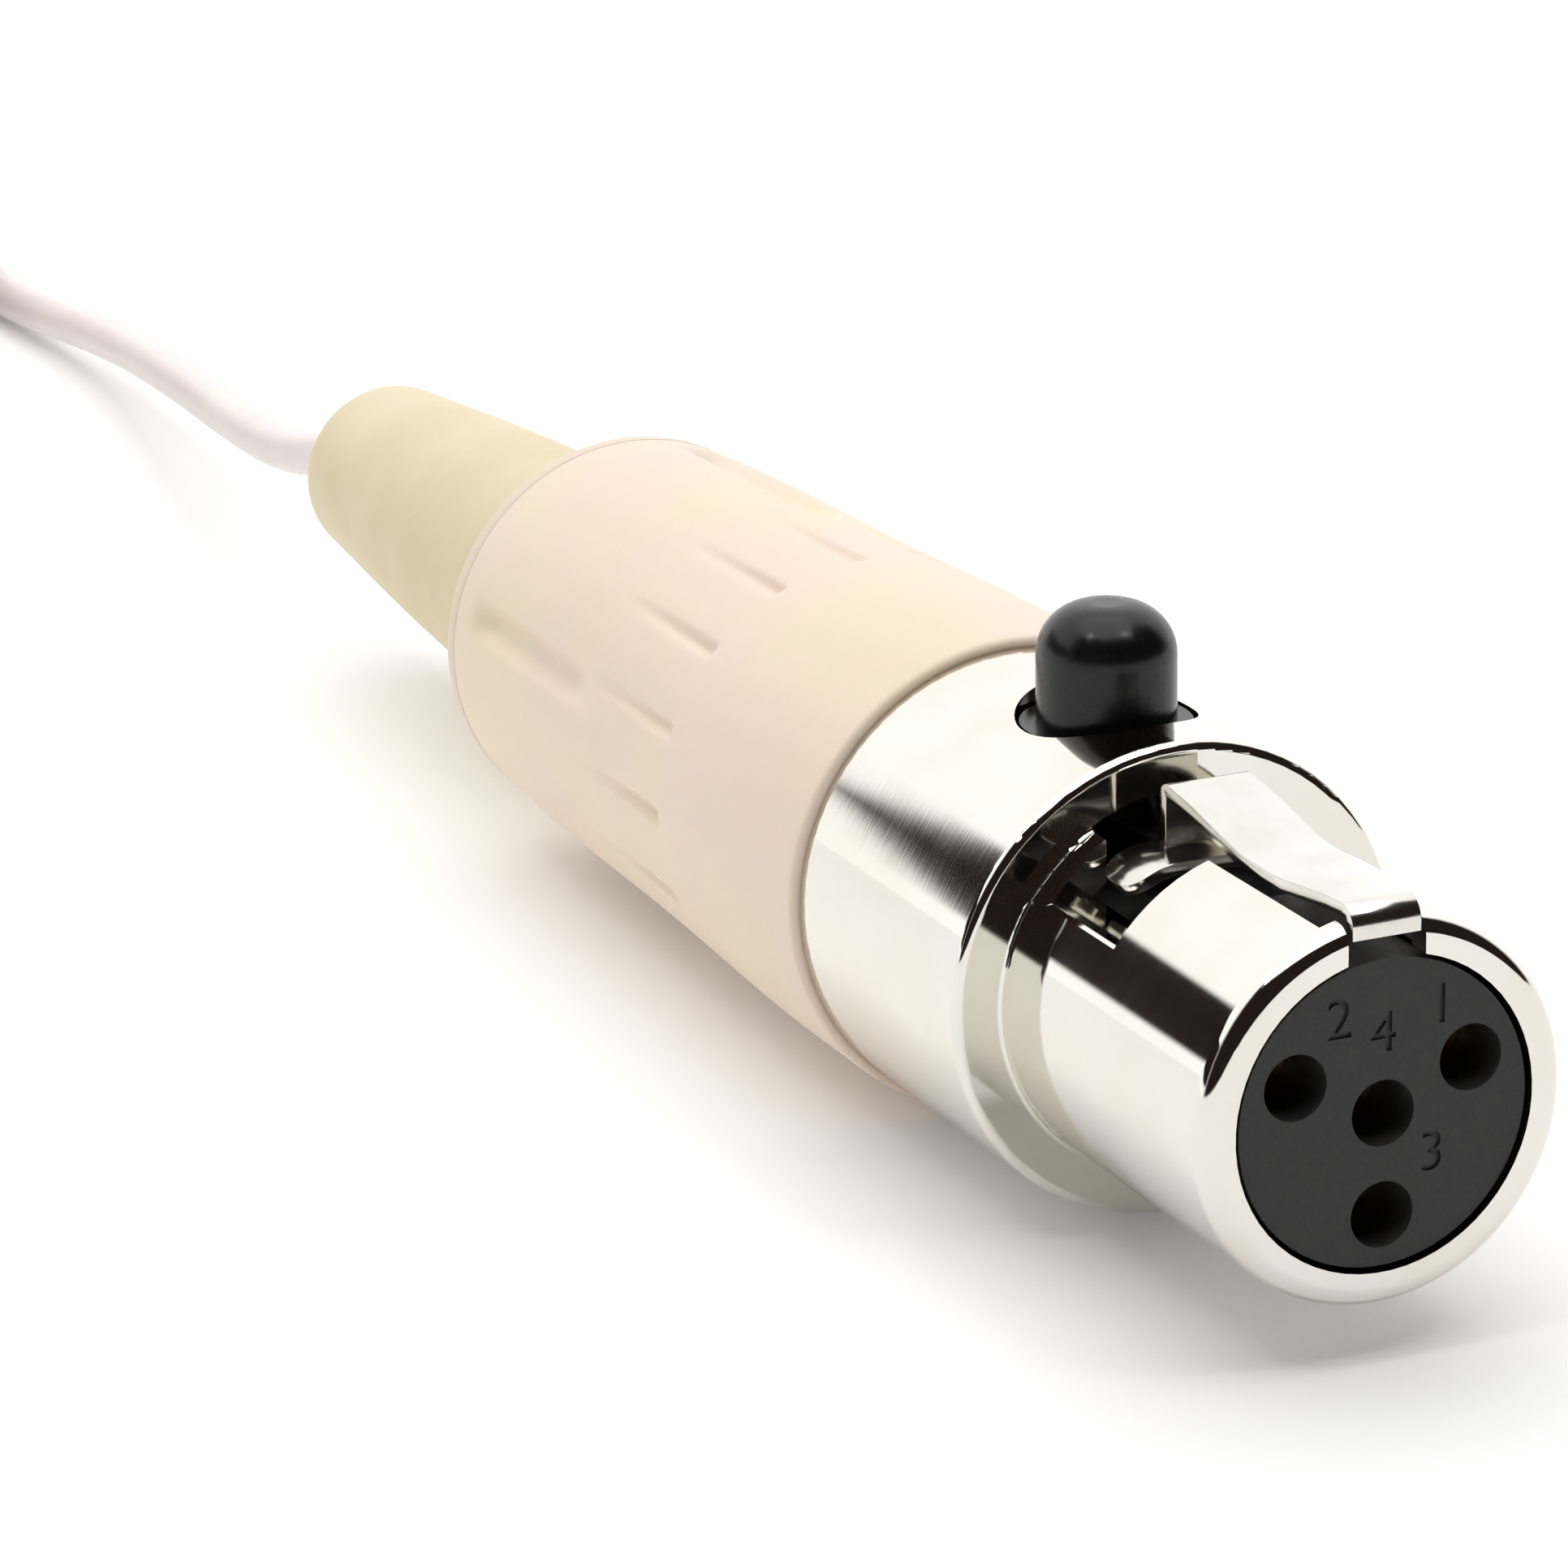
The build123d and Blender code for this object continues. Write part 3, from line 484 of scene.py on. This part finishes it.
def curvedRun(knots, steps):
    # a smooth run through (x, radius, slope) knots, without the last one
    line = []
    for (x0, r0, s0), (x1, r1, s1) in zip(knots, knots[1:]):
        for step in range(steps):
            t = step / steps
            reach = x1 - x0
            value = (2 * t**3 - 3 * t**2 + 1) * r0 + (t**3 - 2 * t**2 + t) * reach * s0
            value += (3 * t**2 - 2 * t**3) * r1 + (t**3 - t**2) * reach * s1
            line.append((x0 + t * reach, value, 0))
    return line


def tidyMesh(data, sharpAngle):
    sketch = bmesh.new()
    sketch.from_mesh(data)
    bmesh.ops.remove_doubles(sketch, verts=sketch.verts[:], dist=mergeGap)
    bmesh.ops.dissolve_degenerate(sketch, edges=sketch.edges[:], dist=mergeGap / 2)
    bmesh.ops.recalc_face_normals(sketch, faces=sketch.faces[:])
    for face in sketch.faces:
        face.smooth = True
    for edge in sketch.edges:
        edge.smooth = len(edge.link_faces) == 2 and edge.calc_face_angle() < math.radians(sharpAngle)
    openEdges = sum(len(edge.link_faces) != 2 for edge in sketch.edges)
    if openEdges:
        print("  open edges:", data.name, openEdges)
    sketch.to_mesh(data)
    sketch.free()


def addPiece(name, data, body, slotName, replaced, sharpAngle=35):
    tidyMesh(data, sharpAngle)
    data.name = name
    if not data.materials:
        data.materials.append(finishes[slotName])
    piece = bpy.data.objects.new(name, data)
    bpy.context.scene.collection.objects.link(piece)
    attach(piece, body)
    if replaced:
        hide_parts(*replaced)
    return piece


def evaluatedMesh(piece):
    made = bpy.data.meshes.new_from_object(piece.evaluated_get(bpy.context.evaluated_depsgraph_get()))
    old = piece.data
    bpy.data.objects.remove(piece)
    if isinstance(old, bpy.types.Mesh):
        bpy.data.meshes.remove(old)
    return made


def turnedMesh(outline, tree, sizes, finish):
    data = bpy.data.meshes.new("outline")
    corners = [(x * mm, radius * mm, 0) for x, radius in outline]
    data.from_pydata(corners, [(index, index + 1) for index in range(len(corners) - 1)], [])
    piece = bpy.data.objects.new("outline", data)
    bpy.context.scene.collection.objects.link(piece)
    modifier = piece.modifiers.new("turned", "NODES")
    modifier.node_group = tree
    sizes = {**sizes, "Finish": finish}
    for item in tree.interface.items_tree:
        if item.in_out == "INPUT" and item.name in sizes:
            modifier[item.identifier] = sizes[item.name]
    return evaluatedMesh(piece)


bootValues = {
    "front": -17.55, "rear": -41.2,
    "frontRadius": 5.76, "middleRadius": 5.5, "rearRadius": 5.0,
    "lip": 2.6, "waist": 10.65,    # from the front to the end of the straight lip and to the waist
    "mouthRounding": 0.2, "rearRounding": 1.44,
    "threadRadius": 5.04, "threadEnd": -24.55,
    "cavityRadius": 4.7, "cavityEnd": -34.46,
    "rearCavityRadius": 4.25, "rearWall": -39.2, "reliefHole": 3.44, "holeRounding": 0.12,
    "waistSlope": 0.034, "rearSlope": 0.09, "steps": 16,
    "spacing": 0.19, "fineShare": 0.85,    # of the front radius, above which the outline is divided finely
    "nodes": {
        "Around": 400, "Flat Bottom": 0.12,
        "Grooves": 16, "Groove Turn": math.radians(1.5), "Groove Width": 0.56 * mm, "Groove Depth": 0.2 * mm,
        "Groove Start": -25.5 * mm, "Groove Length": 6.4 * mm, "Groove Front": 0.22 * mm,
        "Channels": 4, "Channel Turn": math.radians(74), "Channel Width": 1.35 * mm,
        "Channel Depth": 0.36 * mm, "Channel Start": -30.2 * mm, "Channel Length": 8.8 * mm,
        "Channel Front": 2.2 * mm, "Channel Rear": 1.4 * mm,
        "Cut Above": 4.9 * mm,
    },
}


def makeBoot(values):
    front = values["front"]
    rear = values["rear"]
    outside = curvedRun([
        (front - values["lip"], values["frontRadius"], 0),
        (front - values["waist"], values["middleRadius"], values["waistSlope"]),
        (rear, values["rearRadius"], values["rearSlope"]),
    ], values["steps"])
    corners = [
        (front, values["threadRadius"], 0),
        (front, values["frontRadius"], values["mouthRounding"]),
        *outside,
        (rear, values["rearRadius"], values["rearRounding"]),
        (rear, values["reliefHole"], values["holeRounding"]),
        (values["rearWall"], values["reliefHole"], 0),
        (values["rearWall"], values["rearCavityRadius"], 0),
        (values["cavityEnd"], values["rearCavityRadius"], 0),
        (values["cavityEnd"], values["cavityRadius"], 0),
        (values["threadEnd"], values["cavityRadius"], 0),
        (values["threadEnd"], values["threadRadius"], 0),
    ]
    outline = roundedOutline(corners, values["spacing"], values["frontRadius"] * values["fineShare"])
    sizes = values["nodes"]
    tree = turnedTree("grippedBoot", sizes, bootRule)
    data = turnedMesh(outline, tree, sizes, finishes["boot_plastic"])
    return addPiece("gripBoot", data, "plug", "boot_plastic", ["boot"], sharpAngle=60)


boot = makeBoot(bootValues)
print("boot turned,", len(boot.data.polygons), "faces")


reliefValues = {
    "front": -34.56, "flangeEnd": -39.16, "straightEnd": -42.88, "middle": -48.26, "tip": -58.0,
    "flangeRadius": 4.15, "rootRadius": 3.4, "middleRadius": 3.2, "tipRadius": 2.45, "bore": 0.675,
    "flangeRounding": 0.1, "tipRounding": 0.9, "boreRounding": 0.08,
    "middleSlope": 0.058, "tipSlope": 0.08, "steps": 9, "spacing": 0.4,
    "nodes": {"Around": 112},
}


def makeRelief(values):
    corners = [
        (values["front"], values["bore"], 0),
        (values["front"], values["flangeRadius"], values["flangeRounding"]),
        (values["flangeEnd"], values["flangeRadius"], values["flangeRounding"]),
        (values["flangeEnd"], values["rootRadius"], 0),
        *curvedRun([
            (values["straightEnd"], values["rootRadius"], 0),
            (values["middle"], values["middleRadius"], values["middleSlope"]),
            (values["tip"], values["tipRadius"], values["tipSlope"]),
        ], values["steps"]),
        (values["tip"], values["tipRadius"], values["tipRounding"]),
        (values["tip"], values["bore"], values["boreRounding"]),
    ]
    outline = roundedOutline(corners, values["spacing"])
    tree = turnedTree("taperedRelief", values["nodes"], None)
    data = turnedMesh(outline, tree, values["nodes"], finishes["relief_rubber"])
    return addPiece("strainRelief", data, "plug", "relief_rubber", ["strain_relief"], sharpAngle=40)


makeRelief(reliefValues)
print("strain relief turned")


farValues = {
    "axis": (-12.6, -4.16),
    "reliefStart": -88.5, "bodyStart": -83.5, "bodyEnd": -75.5, "tip": -72.3, "seat": -77.5,
    "bodyRadius": 1.6, "plugRadius": 1.3, "bore": 1.05, "rounding": 0.2,
    "stepRounding": 0.05, "tipRounding": 0.08, "boreRounding": 0.06,
    "collar": 0.07, "collarPlace": -76.6, "collarWidth": 0.2, "collarRounding": 0.03, "spacing": 0.11,
    "reliefTip": 0.95, "reliefRoot": 1.3, "reliefRounding": 0.2, "reliefAround": 72,
    "ribs": 5, "ribPitch": 0.82, "ribDepth": 0.17, "ribStart": -87.6, "ribRounding": 0.05,
    "ribGap": ((0, 0), (0.12, 1), (0.3, 1), (0.42, 0)),    # mm along, share of the depth
    "nodes": {
        "Around": 144, "Knurls": 18, "Pitch": 0.9 * mm, "Knurl Depth": 0.09 * mm, "Knurl Runout": 0.1 * mm,
        "Knurl Start": -82.6 * mm, "Knurl End": -77.6 * mm, "Cut Above": 1.5 * mm,
    },
}
farAxis = {"Axis Y": farValues["axis"][0] * mm, "Axis Z": farValues["axis"][1] * mm}


def makeFarBody(values):
    groove = values["collarPlace"]
    grooveStart = groove - values["collarWidth"]
    low = values["bodyRadius"] - values["collar"]
    corners = [
        (values["bodyStart"], axisRadius, 0),
        (values["bodyStart"], values["bodyRadius"], values["rounding"]),
        (grooveStart, values["bodyRadius"], values["collarRounding"]),
        (grooveStart, low, 0),
        (groove, low, 0),
        (groove, values["bodyRadius"], values["collarRounding"]),
        (values["bodyEnd"], values["bodyRadius"], values["rounding"]),
        (values["bodyEnd"], values["plugRadius"], values["stepRounding"]),
        (values["tip"], values["plugRadius"], values["tipRounding"]),
        (values["tip"], values["bore"], values["boreRounding"]),
        (values["seat"], values["bore"], 0),
        (values["seat"], axisRadius, 0),
    ]
    sizes = {**values["nodes"], **farAxis}
    outline = roundedOutline(corners, values["spacing"])
    tree = turnedTree("knurledBody", sizes, knurlRule)
    data = turnedMesh(outline, tree, sizes, finishes["connector_steel"])
    return addPiece("farBody", data, "plug", "connector_steel", ["end_body"], sharpAngle=38)


def makeFarRelief(values):
    start = values["reliefStart"]
    end = values["bodyStart"]
    tip = values["reliefTip"]
    slope = (values["reliefRoot"] - tip) / (end - start)
    corners = [(start, axisRadius, 0), (start, tip, values["reliefRounding"])]
    for rib in range(values["ribs"]):
        ribStart = values["ribStart"] + rib * values["ribPitch"]
        for offset, depth in values["ribGap"]:
            radius = tip + slope * (ribStart + offset - start) - depth * values["ribDepth"]
            corners.append((ribStart + offset, radius, values["ribRounding"]))
    corners += [(end, values["reliefRoot"], 0), (end, axisRadius, 0)]
    sizes = {"Around": values["reliefAround"], **farAxis}
    outline = roundedOutline(corners, values["spacing"])
    tree = turnedTree("ribbedRelief", sizes, None)
    data = turnedMesh(outline, tree, sizes, finishes["cable_jacket"])
    return addPiece("farRelief", data, "plug", "cable_jacket", ["end_relief"], sharpAngle=40)


farBody = makeFarBody(farValues)
farRelief = makeFarRelief(farValues)
print("far connector turned")


flatAngle = math.radians(0.4)


def nodeMesh(nodeName):
    # a copy of a part from the frame, its triangles joined and its flat faces made whole
    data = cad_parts[nodeName].data.copy()
    if data.has_custom_normals:
        data.normals_split_custom_set([(0, 0, 0)] * len(data.loops))
    for label in ("custom_normal", "sharp_face", "sharp_edge"):
        if label in data.attributes:
            data.attributes.remove(data.attributes[label])
    sketch = bmesh.new()
    sketch.from_mesh(data)
    bmesh.ops.remove_doubles(sketch, verts=sketch.verts[:], dist=mergeGap)
    bmesh.ops.dissolve_limit(sketch, angle_limit=flatAngle, verts=sketch.verts[:], edges=sketch.edges[:])
    sketch.to_mesh(data)
    sketch.free()
    return data


# Contact insert: its numbers are cut into the face
insertValues = {
    "depth": 0.07, "size": 1.3, "curveSteps": 4,
    "numbers": {"2": (-1.07, 2.23), "4": (0.0, 1.77), "1": (1.4, 2.2), "3": (1.2, -1.1)},   # (y, z) in mm
}


def numberTool(number, place, values):
    # the text is drawn in X and Y, and turned to stand in Y and Z
    text = bpy.data.curves.new("number", "FONT")
    text.body = number
    text.size = values["size"] * mm
    text.align_x = "CENTER"
    text.align_y = "CENTER"
    text.extrude = values["depth"] * mm
    text.resolution_u = values["curveSteps"]
    letter = bpy.data.objects.new("number", text)
    bpy.context.scene.collection.objects.link(letter)
    data = evaluatedMesh(letter)
    turn = Matrix(((0, 0, 1), (1, 0, 0), (0, 1, 0))).to_4x4()
    data.transform(Matrix.Translation(place) @ turn)
    sketch = bmesh.new()
    sketch.from_mesh(data)
    bmesh.ops.remove_doubles(sketch, verts=sketch.verts[:], dist=seamGap)
    bmesh.ops.recalc_face_normals(sketch, faces=sketch.faces[:])
    sketch.to_mesh(data)
    sketch.free()
    tool = bpy.data.objects.new("number", data)
    bpy.context.scene.collection.objects.link(tool)
    return tool


def makeInsert(values):
    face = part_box("contact_insert")[1][0]
    tools = []
    for number, (y, z) in values["numbers"].items():
        tools.append(numberTool(number, (face, y * mm, z * mm), values))
    body = bpy.data.objects.new("insert", nodeMesh("contact_insert"))
    bpy.context.scene.collection.objects.link(body)
    for tool in tools:
        cut = body.modifiers.new("cut", "BOOLEAN")
        cut.object = tool
        cut.operation = "DIFFERENCE"
        cut.solver = "EXACT"
    made = evaluatedMesh(body)
    for tool in tools:
        bpy.data.objects.remove(tool)
    made.materials.clear()
    return addPiece("numberedInsert", made, "plug", "insert_plastic", ["contact_insert"], sharpAngle=30)


makeInsert(insertValues)
print("insert numbered")


# Latch: the plain strip with its sharp edges taken off
latchValues = {"edge": 0.035, "segments": 2, "sharpAngle": 50}


def makeLatch(values):
    strip = bpy.data.objects.new("strip", nodeMesh("latch"))
    bpy.context.scene.collection.objects.link(strip)
    bevel = strip.modifiers.new("edges", "BEVEL")
    bevel.width = values["edge"] * mm
    bevel.segments = values["segments"]
    bevel.limit_method = "ANGLE"
    bevel.angle_limit = math.radians(values["sharpAngle"])
    bevel.use_clamp_overlap = True
    made = evaluatedMesh(strip)
    made.materials.clear()
    return addPiece("springLatch", made, "latch", "spring_steel", ["latch"], sharpAngle=45)


makeLatch(latchValues)
print("latch softened")


# Tie: a woven strap round the bundled turns, its end lapped over its start
weaveValues = {
    # the second colour is a painted highlight on the raised threads, and the hollows between them keep the
    # darker colour as painted shade
    "name": "wovenTape", "color": (0.015, 0.015, 0.017), "paintedThreadLight": (0.06, 0.06, 0.065),
    "thread": 0.28, "depth": 0.05,    # mm
    "fuzz": 9000.0, "fuzzDetail": 3.0, "threadShare": 0.7, "fuzzShare": 0.6,
    "paintedLightFrom": (0.35, 1.0), "heights": (0.2, 1.0), "roughness": (0.9, 0.6),
    "sheen": 0.35, "sheenRoughness": 0.4,
}


def makeWeave(values):
    material = bpy.data.materials.new(values["name"])
    material.use_nodes = True
    tree = material.node_tree
    shader = tree.nodes["Principled BSDF"]
    shader.inputs["Sheen Weight"].default_value = values["sheen"]
    shader.inputs["Sheen Roughness"].default_value = values["sheenRoughness"]
    place = addNode(tree, "ShaderNodeUVMap", uv_map="weave").outputs[0]
    onStrap = addNode(tree, "ShaderNodeSeparateXYZ", {"Vector": place}).outputs
    waves = []
    for way in (onStrap["X"], onStrap["Y"]):
        waves.append(calc(tree, "SINE", calc(tree, "MULTIPLY", way, 2 * math.pi / values["thread"])))
    threads = calc(tree, "ADD", calc(tree, "MULTIPLY", calc(tree, "MULTIPLY", *waves), 0.5), 0.5)
    coords = addNode(tree, "ShaderNodeTexCoord").outputs["Object"]
    terms = {"Vector": coords, "Scale": values["fuzz"], "Detail": values["fuzzDetail"]}
    fuzz = addNode(tree, "ShaderNodeTexNoise", terms).outputs[0]
    threads = calc(tree, "MULTIPLY", threads, values["threadShare"])
    height = calc(tree, "ADD", threads, calc(tree, "MULTIPLY", fuzz, values["fuzzShare"]))
    # painted light: the base colour runs from the dark thread colour in the hollows, as painted shade, to a
    # painted highlight on the raised threads
    lit = fade(tree, height, *values["paintedLightFrom"])
    feed(tree, shader.inputs["Base Color"], mixColors(tree, lit, values["color"], values["paintedThreadLight"]))
    feed(tree, shader.inputs["Roughness"], spread(tree, height, values["heights"], values["roughness"]))
    bump = addNode(tree, "ShaderNodeBump", {"Height": height, "Distance": values["depth"] * mm})
    feed(tree, shader.inputs["Normal"], bump.outputs[0])
    return material


tieValues = {
    "across": (-119.2, -114.0), "floor": -5.76, "top": 2.39, "y": -5.15,
    "width": 3.9, "thickness": 0.35, "corner": 0.62, "startX": -118.0, "endX": -115.0, "lapGap": 0.03,
    "columns": 12, "spacing": 0.22, "cornerSteps": 6, "edgeWave": 0.06, "waveLength": 0.55,
    "edgeThinning": 0.3, "edgePower": 6,    # the strap is thinner along its edges
    "backShift": 10,                        # mm on the UV map, between the outer face and the inner one
}


def tieLine(values):
    # (x, z) points along the middle of the strap, from its start to its lapped end
    half = values["thickness"] / 2
    left = values["across"][0] - half
    right = values["across"][1] + half
    low = values["floor"] + half
    high = values["top"] + half
    lapped = high + values["thickness"] + values["lapGap"]
    corners = [
        (values["startX"], high), (right, high), (right, low),
        (left, low), (left, lapped), (values["endX"], lapped),
    ]
    places = [Vector(corner) for corner in corners]
    steps = values["cornerSteps"]
    line = [places[0]]
    for back, corner, ahead in zip(places, places[1:], places[2:]):
        before = (corner - back).normalized()
        after = (ahead - corner).normalized()
        centre = corner + (after - before) * values["corner"]
        for step in range(steps + 1):
            line.append(centre + (-after).slerp(before, step / steps) * values["corner"])
    line.append(places[-1])
    dense = []
    for start, end in zip(line, line[1:]):
        parts = max(1, math.ceil((end - start).length / values["spacing"]))
        dense += [start.lerp(end, part / parts) for part in range(parts)]
    dense.append(line[-1])
    return dense


def makeTie(values):
    line = tieLine(values)
    sketch = bmesh.new()
    weave = sketch.loops.layers.uv.new("weave")
    rings = []
    run = 0.0
    for index, place in enumerate(line):
        before = line[max(index - 1, 0)]
        after = line[min(index + 1, len(line) - 1)]
        along = (after - before).normalized()
        out = Vector((-along.y, along.x)) * values["thickness"] / 2
        run += (place - before).length
        wave = math.sin(2 * math.pi * run / values["waveLength"])
        reach = values["width"] / 2 + values["edgeWave"] * wave
        ring = []
        for side, shift in ((1, 0), (-1, values["backShift"])):
            for column in range(values["columns"] + 1):
                share = (column / values["columns"] * 2 - 1) * side
                thin = 1 - values["edgeThinning"] * abs(share) ** values["edgePower"]
                spot = place + out * side * thin
                vert = sketch.verts.new(Vector((spot.x, values["y"] + share * reach, spot.y)) * mm)
                ring.append((vert, run, share * reach + shift))
        rings.append(ring)
    count = len(rings[0])
    for first, second in zip(rings, rings[1:]):
        for index in range(count):
            following = (index + 1) % count
            quad = [first[index], first[following], second[following], second[index]]
            face = sketch.faces.new([corner[0] for corner in quad])
            for loop, corner in zip(face.loops, quad):
                loop[weave].uv = corner[1:]
    sketch.faces.new([corner[0] for corner in rings[0]])
    sketch.faces.new([corner[0] for corner in reversed(rings[-1])])
    data = bpy.data.meshes.new("tieStrap")
    sketch.to_mesh(data)
    sketch.free()
    data.materials.append(makeWeave(weaveValues))
    return addPiece("wovenTie", data, "plug", "hook_tape", ["coil_tie"], sharpAngle=50)


tie = makeTie(tieValues)
print("tie lapped")


# Studio: a pale floor, a bright room above and behind, and a dark side in front that the metal mirrors
studioValues = {
    "floorRadius": 0.6, "floorColor": (0.93, 0.93, 0.93), "floorGlow": 0.1,
    "floorRoughness": 0.8, "floorGloss": 0.2,
    "white": 1.3, "overhead": 2.2, "dark": (0.020, 0.013, 0.010),
    # degrees from here on, round from +X or up, and a pair says where a fade starts and ends
    "overheadEdge": (50.0, 66.0), "frontSides": (104.0, 84.0), "frontTop": (61.0, 55.0),
    "darkBottom": (-1.0, 1.0), "cardSide": (-80.0, -100.0), "cardHeight": 13.0, "cardEdge": (-0.2, 2.2),
    "cardTip": (-0.866, -0.850), "cardReach": (0.0, 10.0),    # the tip is told by a direction's x
    "lamps": [(-75.0, 60.0), (33.0, 61.0)], "lampEdge": (4.6, 2.6), "lampStrength": 13.0,
}


def makeFloor(values):
    data = bpy.data.meshes.new("floor")
    sketch = bmesh.new()
    bmesh.ops.create_circle(sketch, cap_ends=True, segments=96, radius=values["floorRadius"])
    sketch.to_mesh(data)
    sketch.free()
    floor = bpy.data.objects.new("floor", data)
    floor.location = (0, 0, cadBox[0][2])
    bpy.context.scene.collection.objects.link(floor)
    material = bpy.data.materials.new("paleFloor")
    material.use_nodes = True
    shader = material.node_tree.nodes["Principled BSDF"]
    shader.inputs["Base Color"].default_value = (*values["floorColor"], 1)
    shader.inputs["Roughness"].default_value = values["floorRoughness"]
    shader.inputs["Specular IOR Level"].default_value = values["floorGloss"]
    shader.inputs["Emission Color"].default_value = (1, 1, 1, 1)
    shader.inputs["Emission Strength"].default_value = values["floorGlow"]
    data.materials.append(material)


def makeRoom(values):
    world = bpy.data.worlds.new("studio")
    bpy.context.scene.world = world
    world.use_nodes = True
    tree = world.node_tree
    background = tree.nodes["Background"]
    coords = addNode(tree, "ShaderNodeTexCoord").outputs["Generated"]
    x, y, z = addNode(tree, "ShaderNodeSeparateXYZ", {"Vector": coords}).outputs
    height = calc(tree, "DEGREES", calc(tree, "ARCSINE", z))
    around = calc(tree, "DEGREES", calc(tree, "ARCTAN2", y, x))
    overhead = fade(tree, height, *values["overheadEdge"])
    bright = calc(tree, "MULTIPLY", overhead, values["overhead"] - values["white"])
    bright = calc(tree, "ADD", bright, values["white"])
    front = fade(tree, calc(tree, "ABSOLUTE", around), *values["frontSides"])
    front = calc(tree, "MULTIPLY", front, fade(tree, height, *values["frontTop"]))
    # the dark card on the left narrows to a point towards the back
    reach = spread(tree, x, values["cardTip"], values["cardReach"])
    off = calc(tree, "ABSOLUTE", calc(tree, "SUBTRACT", height, values["cardHeight"]))
    card = fade(tree, calc(tree, "SUBTRACT", reach, off), *values["cardEdge"])
    card = calc(tree, "MULTIPLY", fade(tree, around, *values["cardSide"]), card)
    shade = calc(tree, "MAXIMUM", front, card)
    shade = calc(tree, "MULTIPLY", shade, fade(tree, height, *values["darkBottom"]))
    outer, inner = [math.cos(math.radians(edge)) for edge in values["lampEdge"]]
    for turn, up in values["lamps"]:
        turn = math.radians(turn)
        up = math.radians(up)
        towards = (math.cos(up) * math.cos(turn), math.cos(up) * math.sin(turn), math.sin(up))
        facing = addNode(tree, "ShaderNodeVectorMath", operation="DOT_PRODUCT")
        feed(tree, facing.inputs[0], coords)
        feed(tree, facing.inputs[1], towards)
        lamp = fade(tree, facing.outputs["Value"], outer, inner)
        bright = calc(tree, "ADD", bright, calc(tree, "MULTIPLY", lamp, values["lampStrength"]))
        shade = calc(tree, "MULTIPLY", shade, calc(tree, "SUBTRACT", 1.0, lamp))
    terms = {"Red": bright, "Green": bright, "Blue": bright}
    white = addNode(tree, "ShaderNodeCombineColor", terms).outputs[0]
    feed(tree, background.inputs["Color"], mixColors(tree, shade, white, values["dark"]))


makeFloor(studioValues)
makeRoom(studioValues)
bpy.context.scene.view_settings.view_transform = "Standard"
print("studio lit")
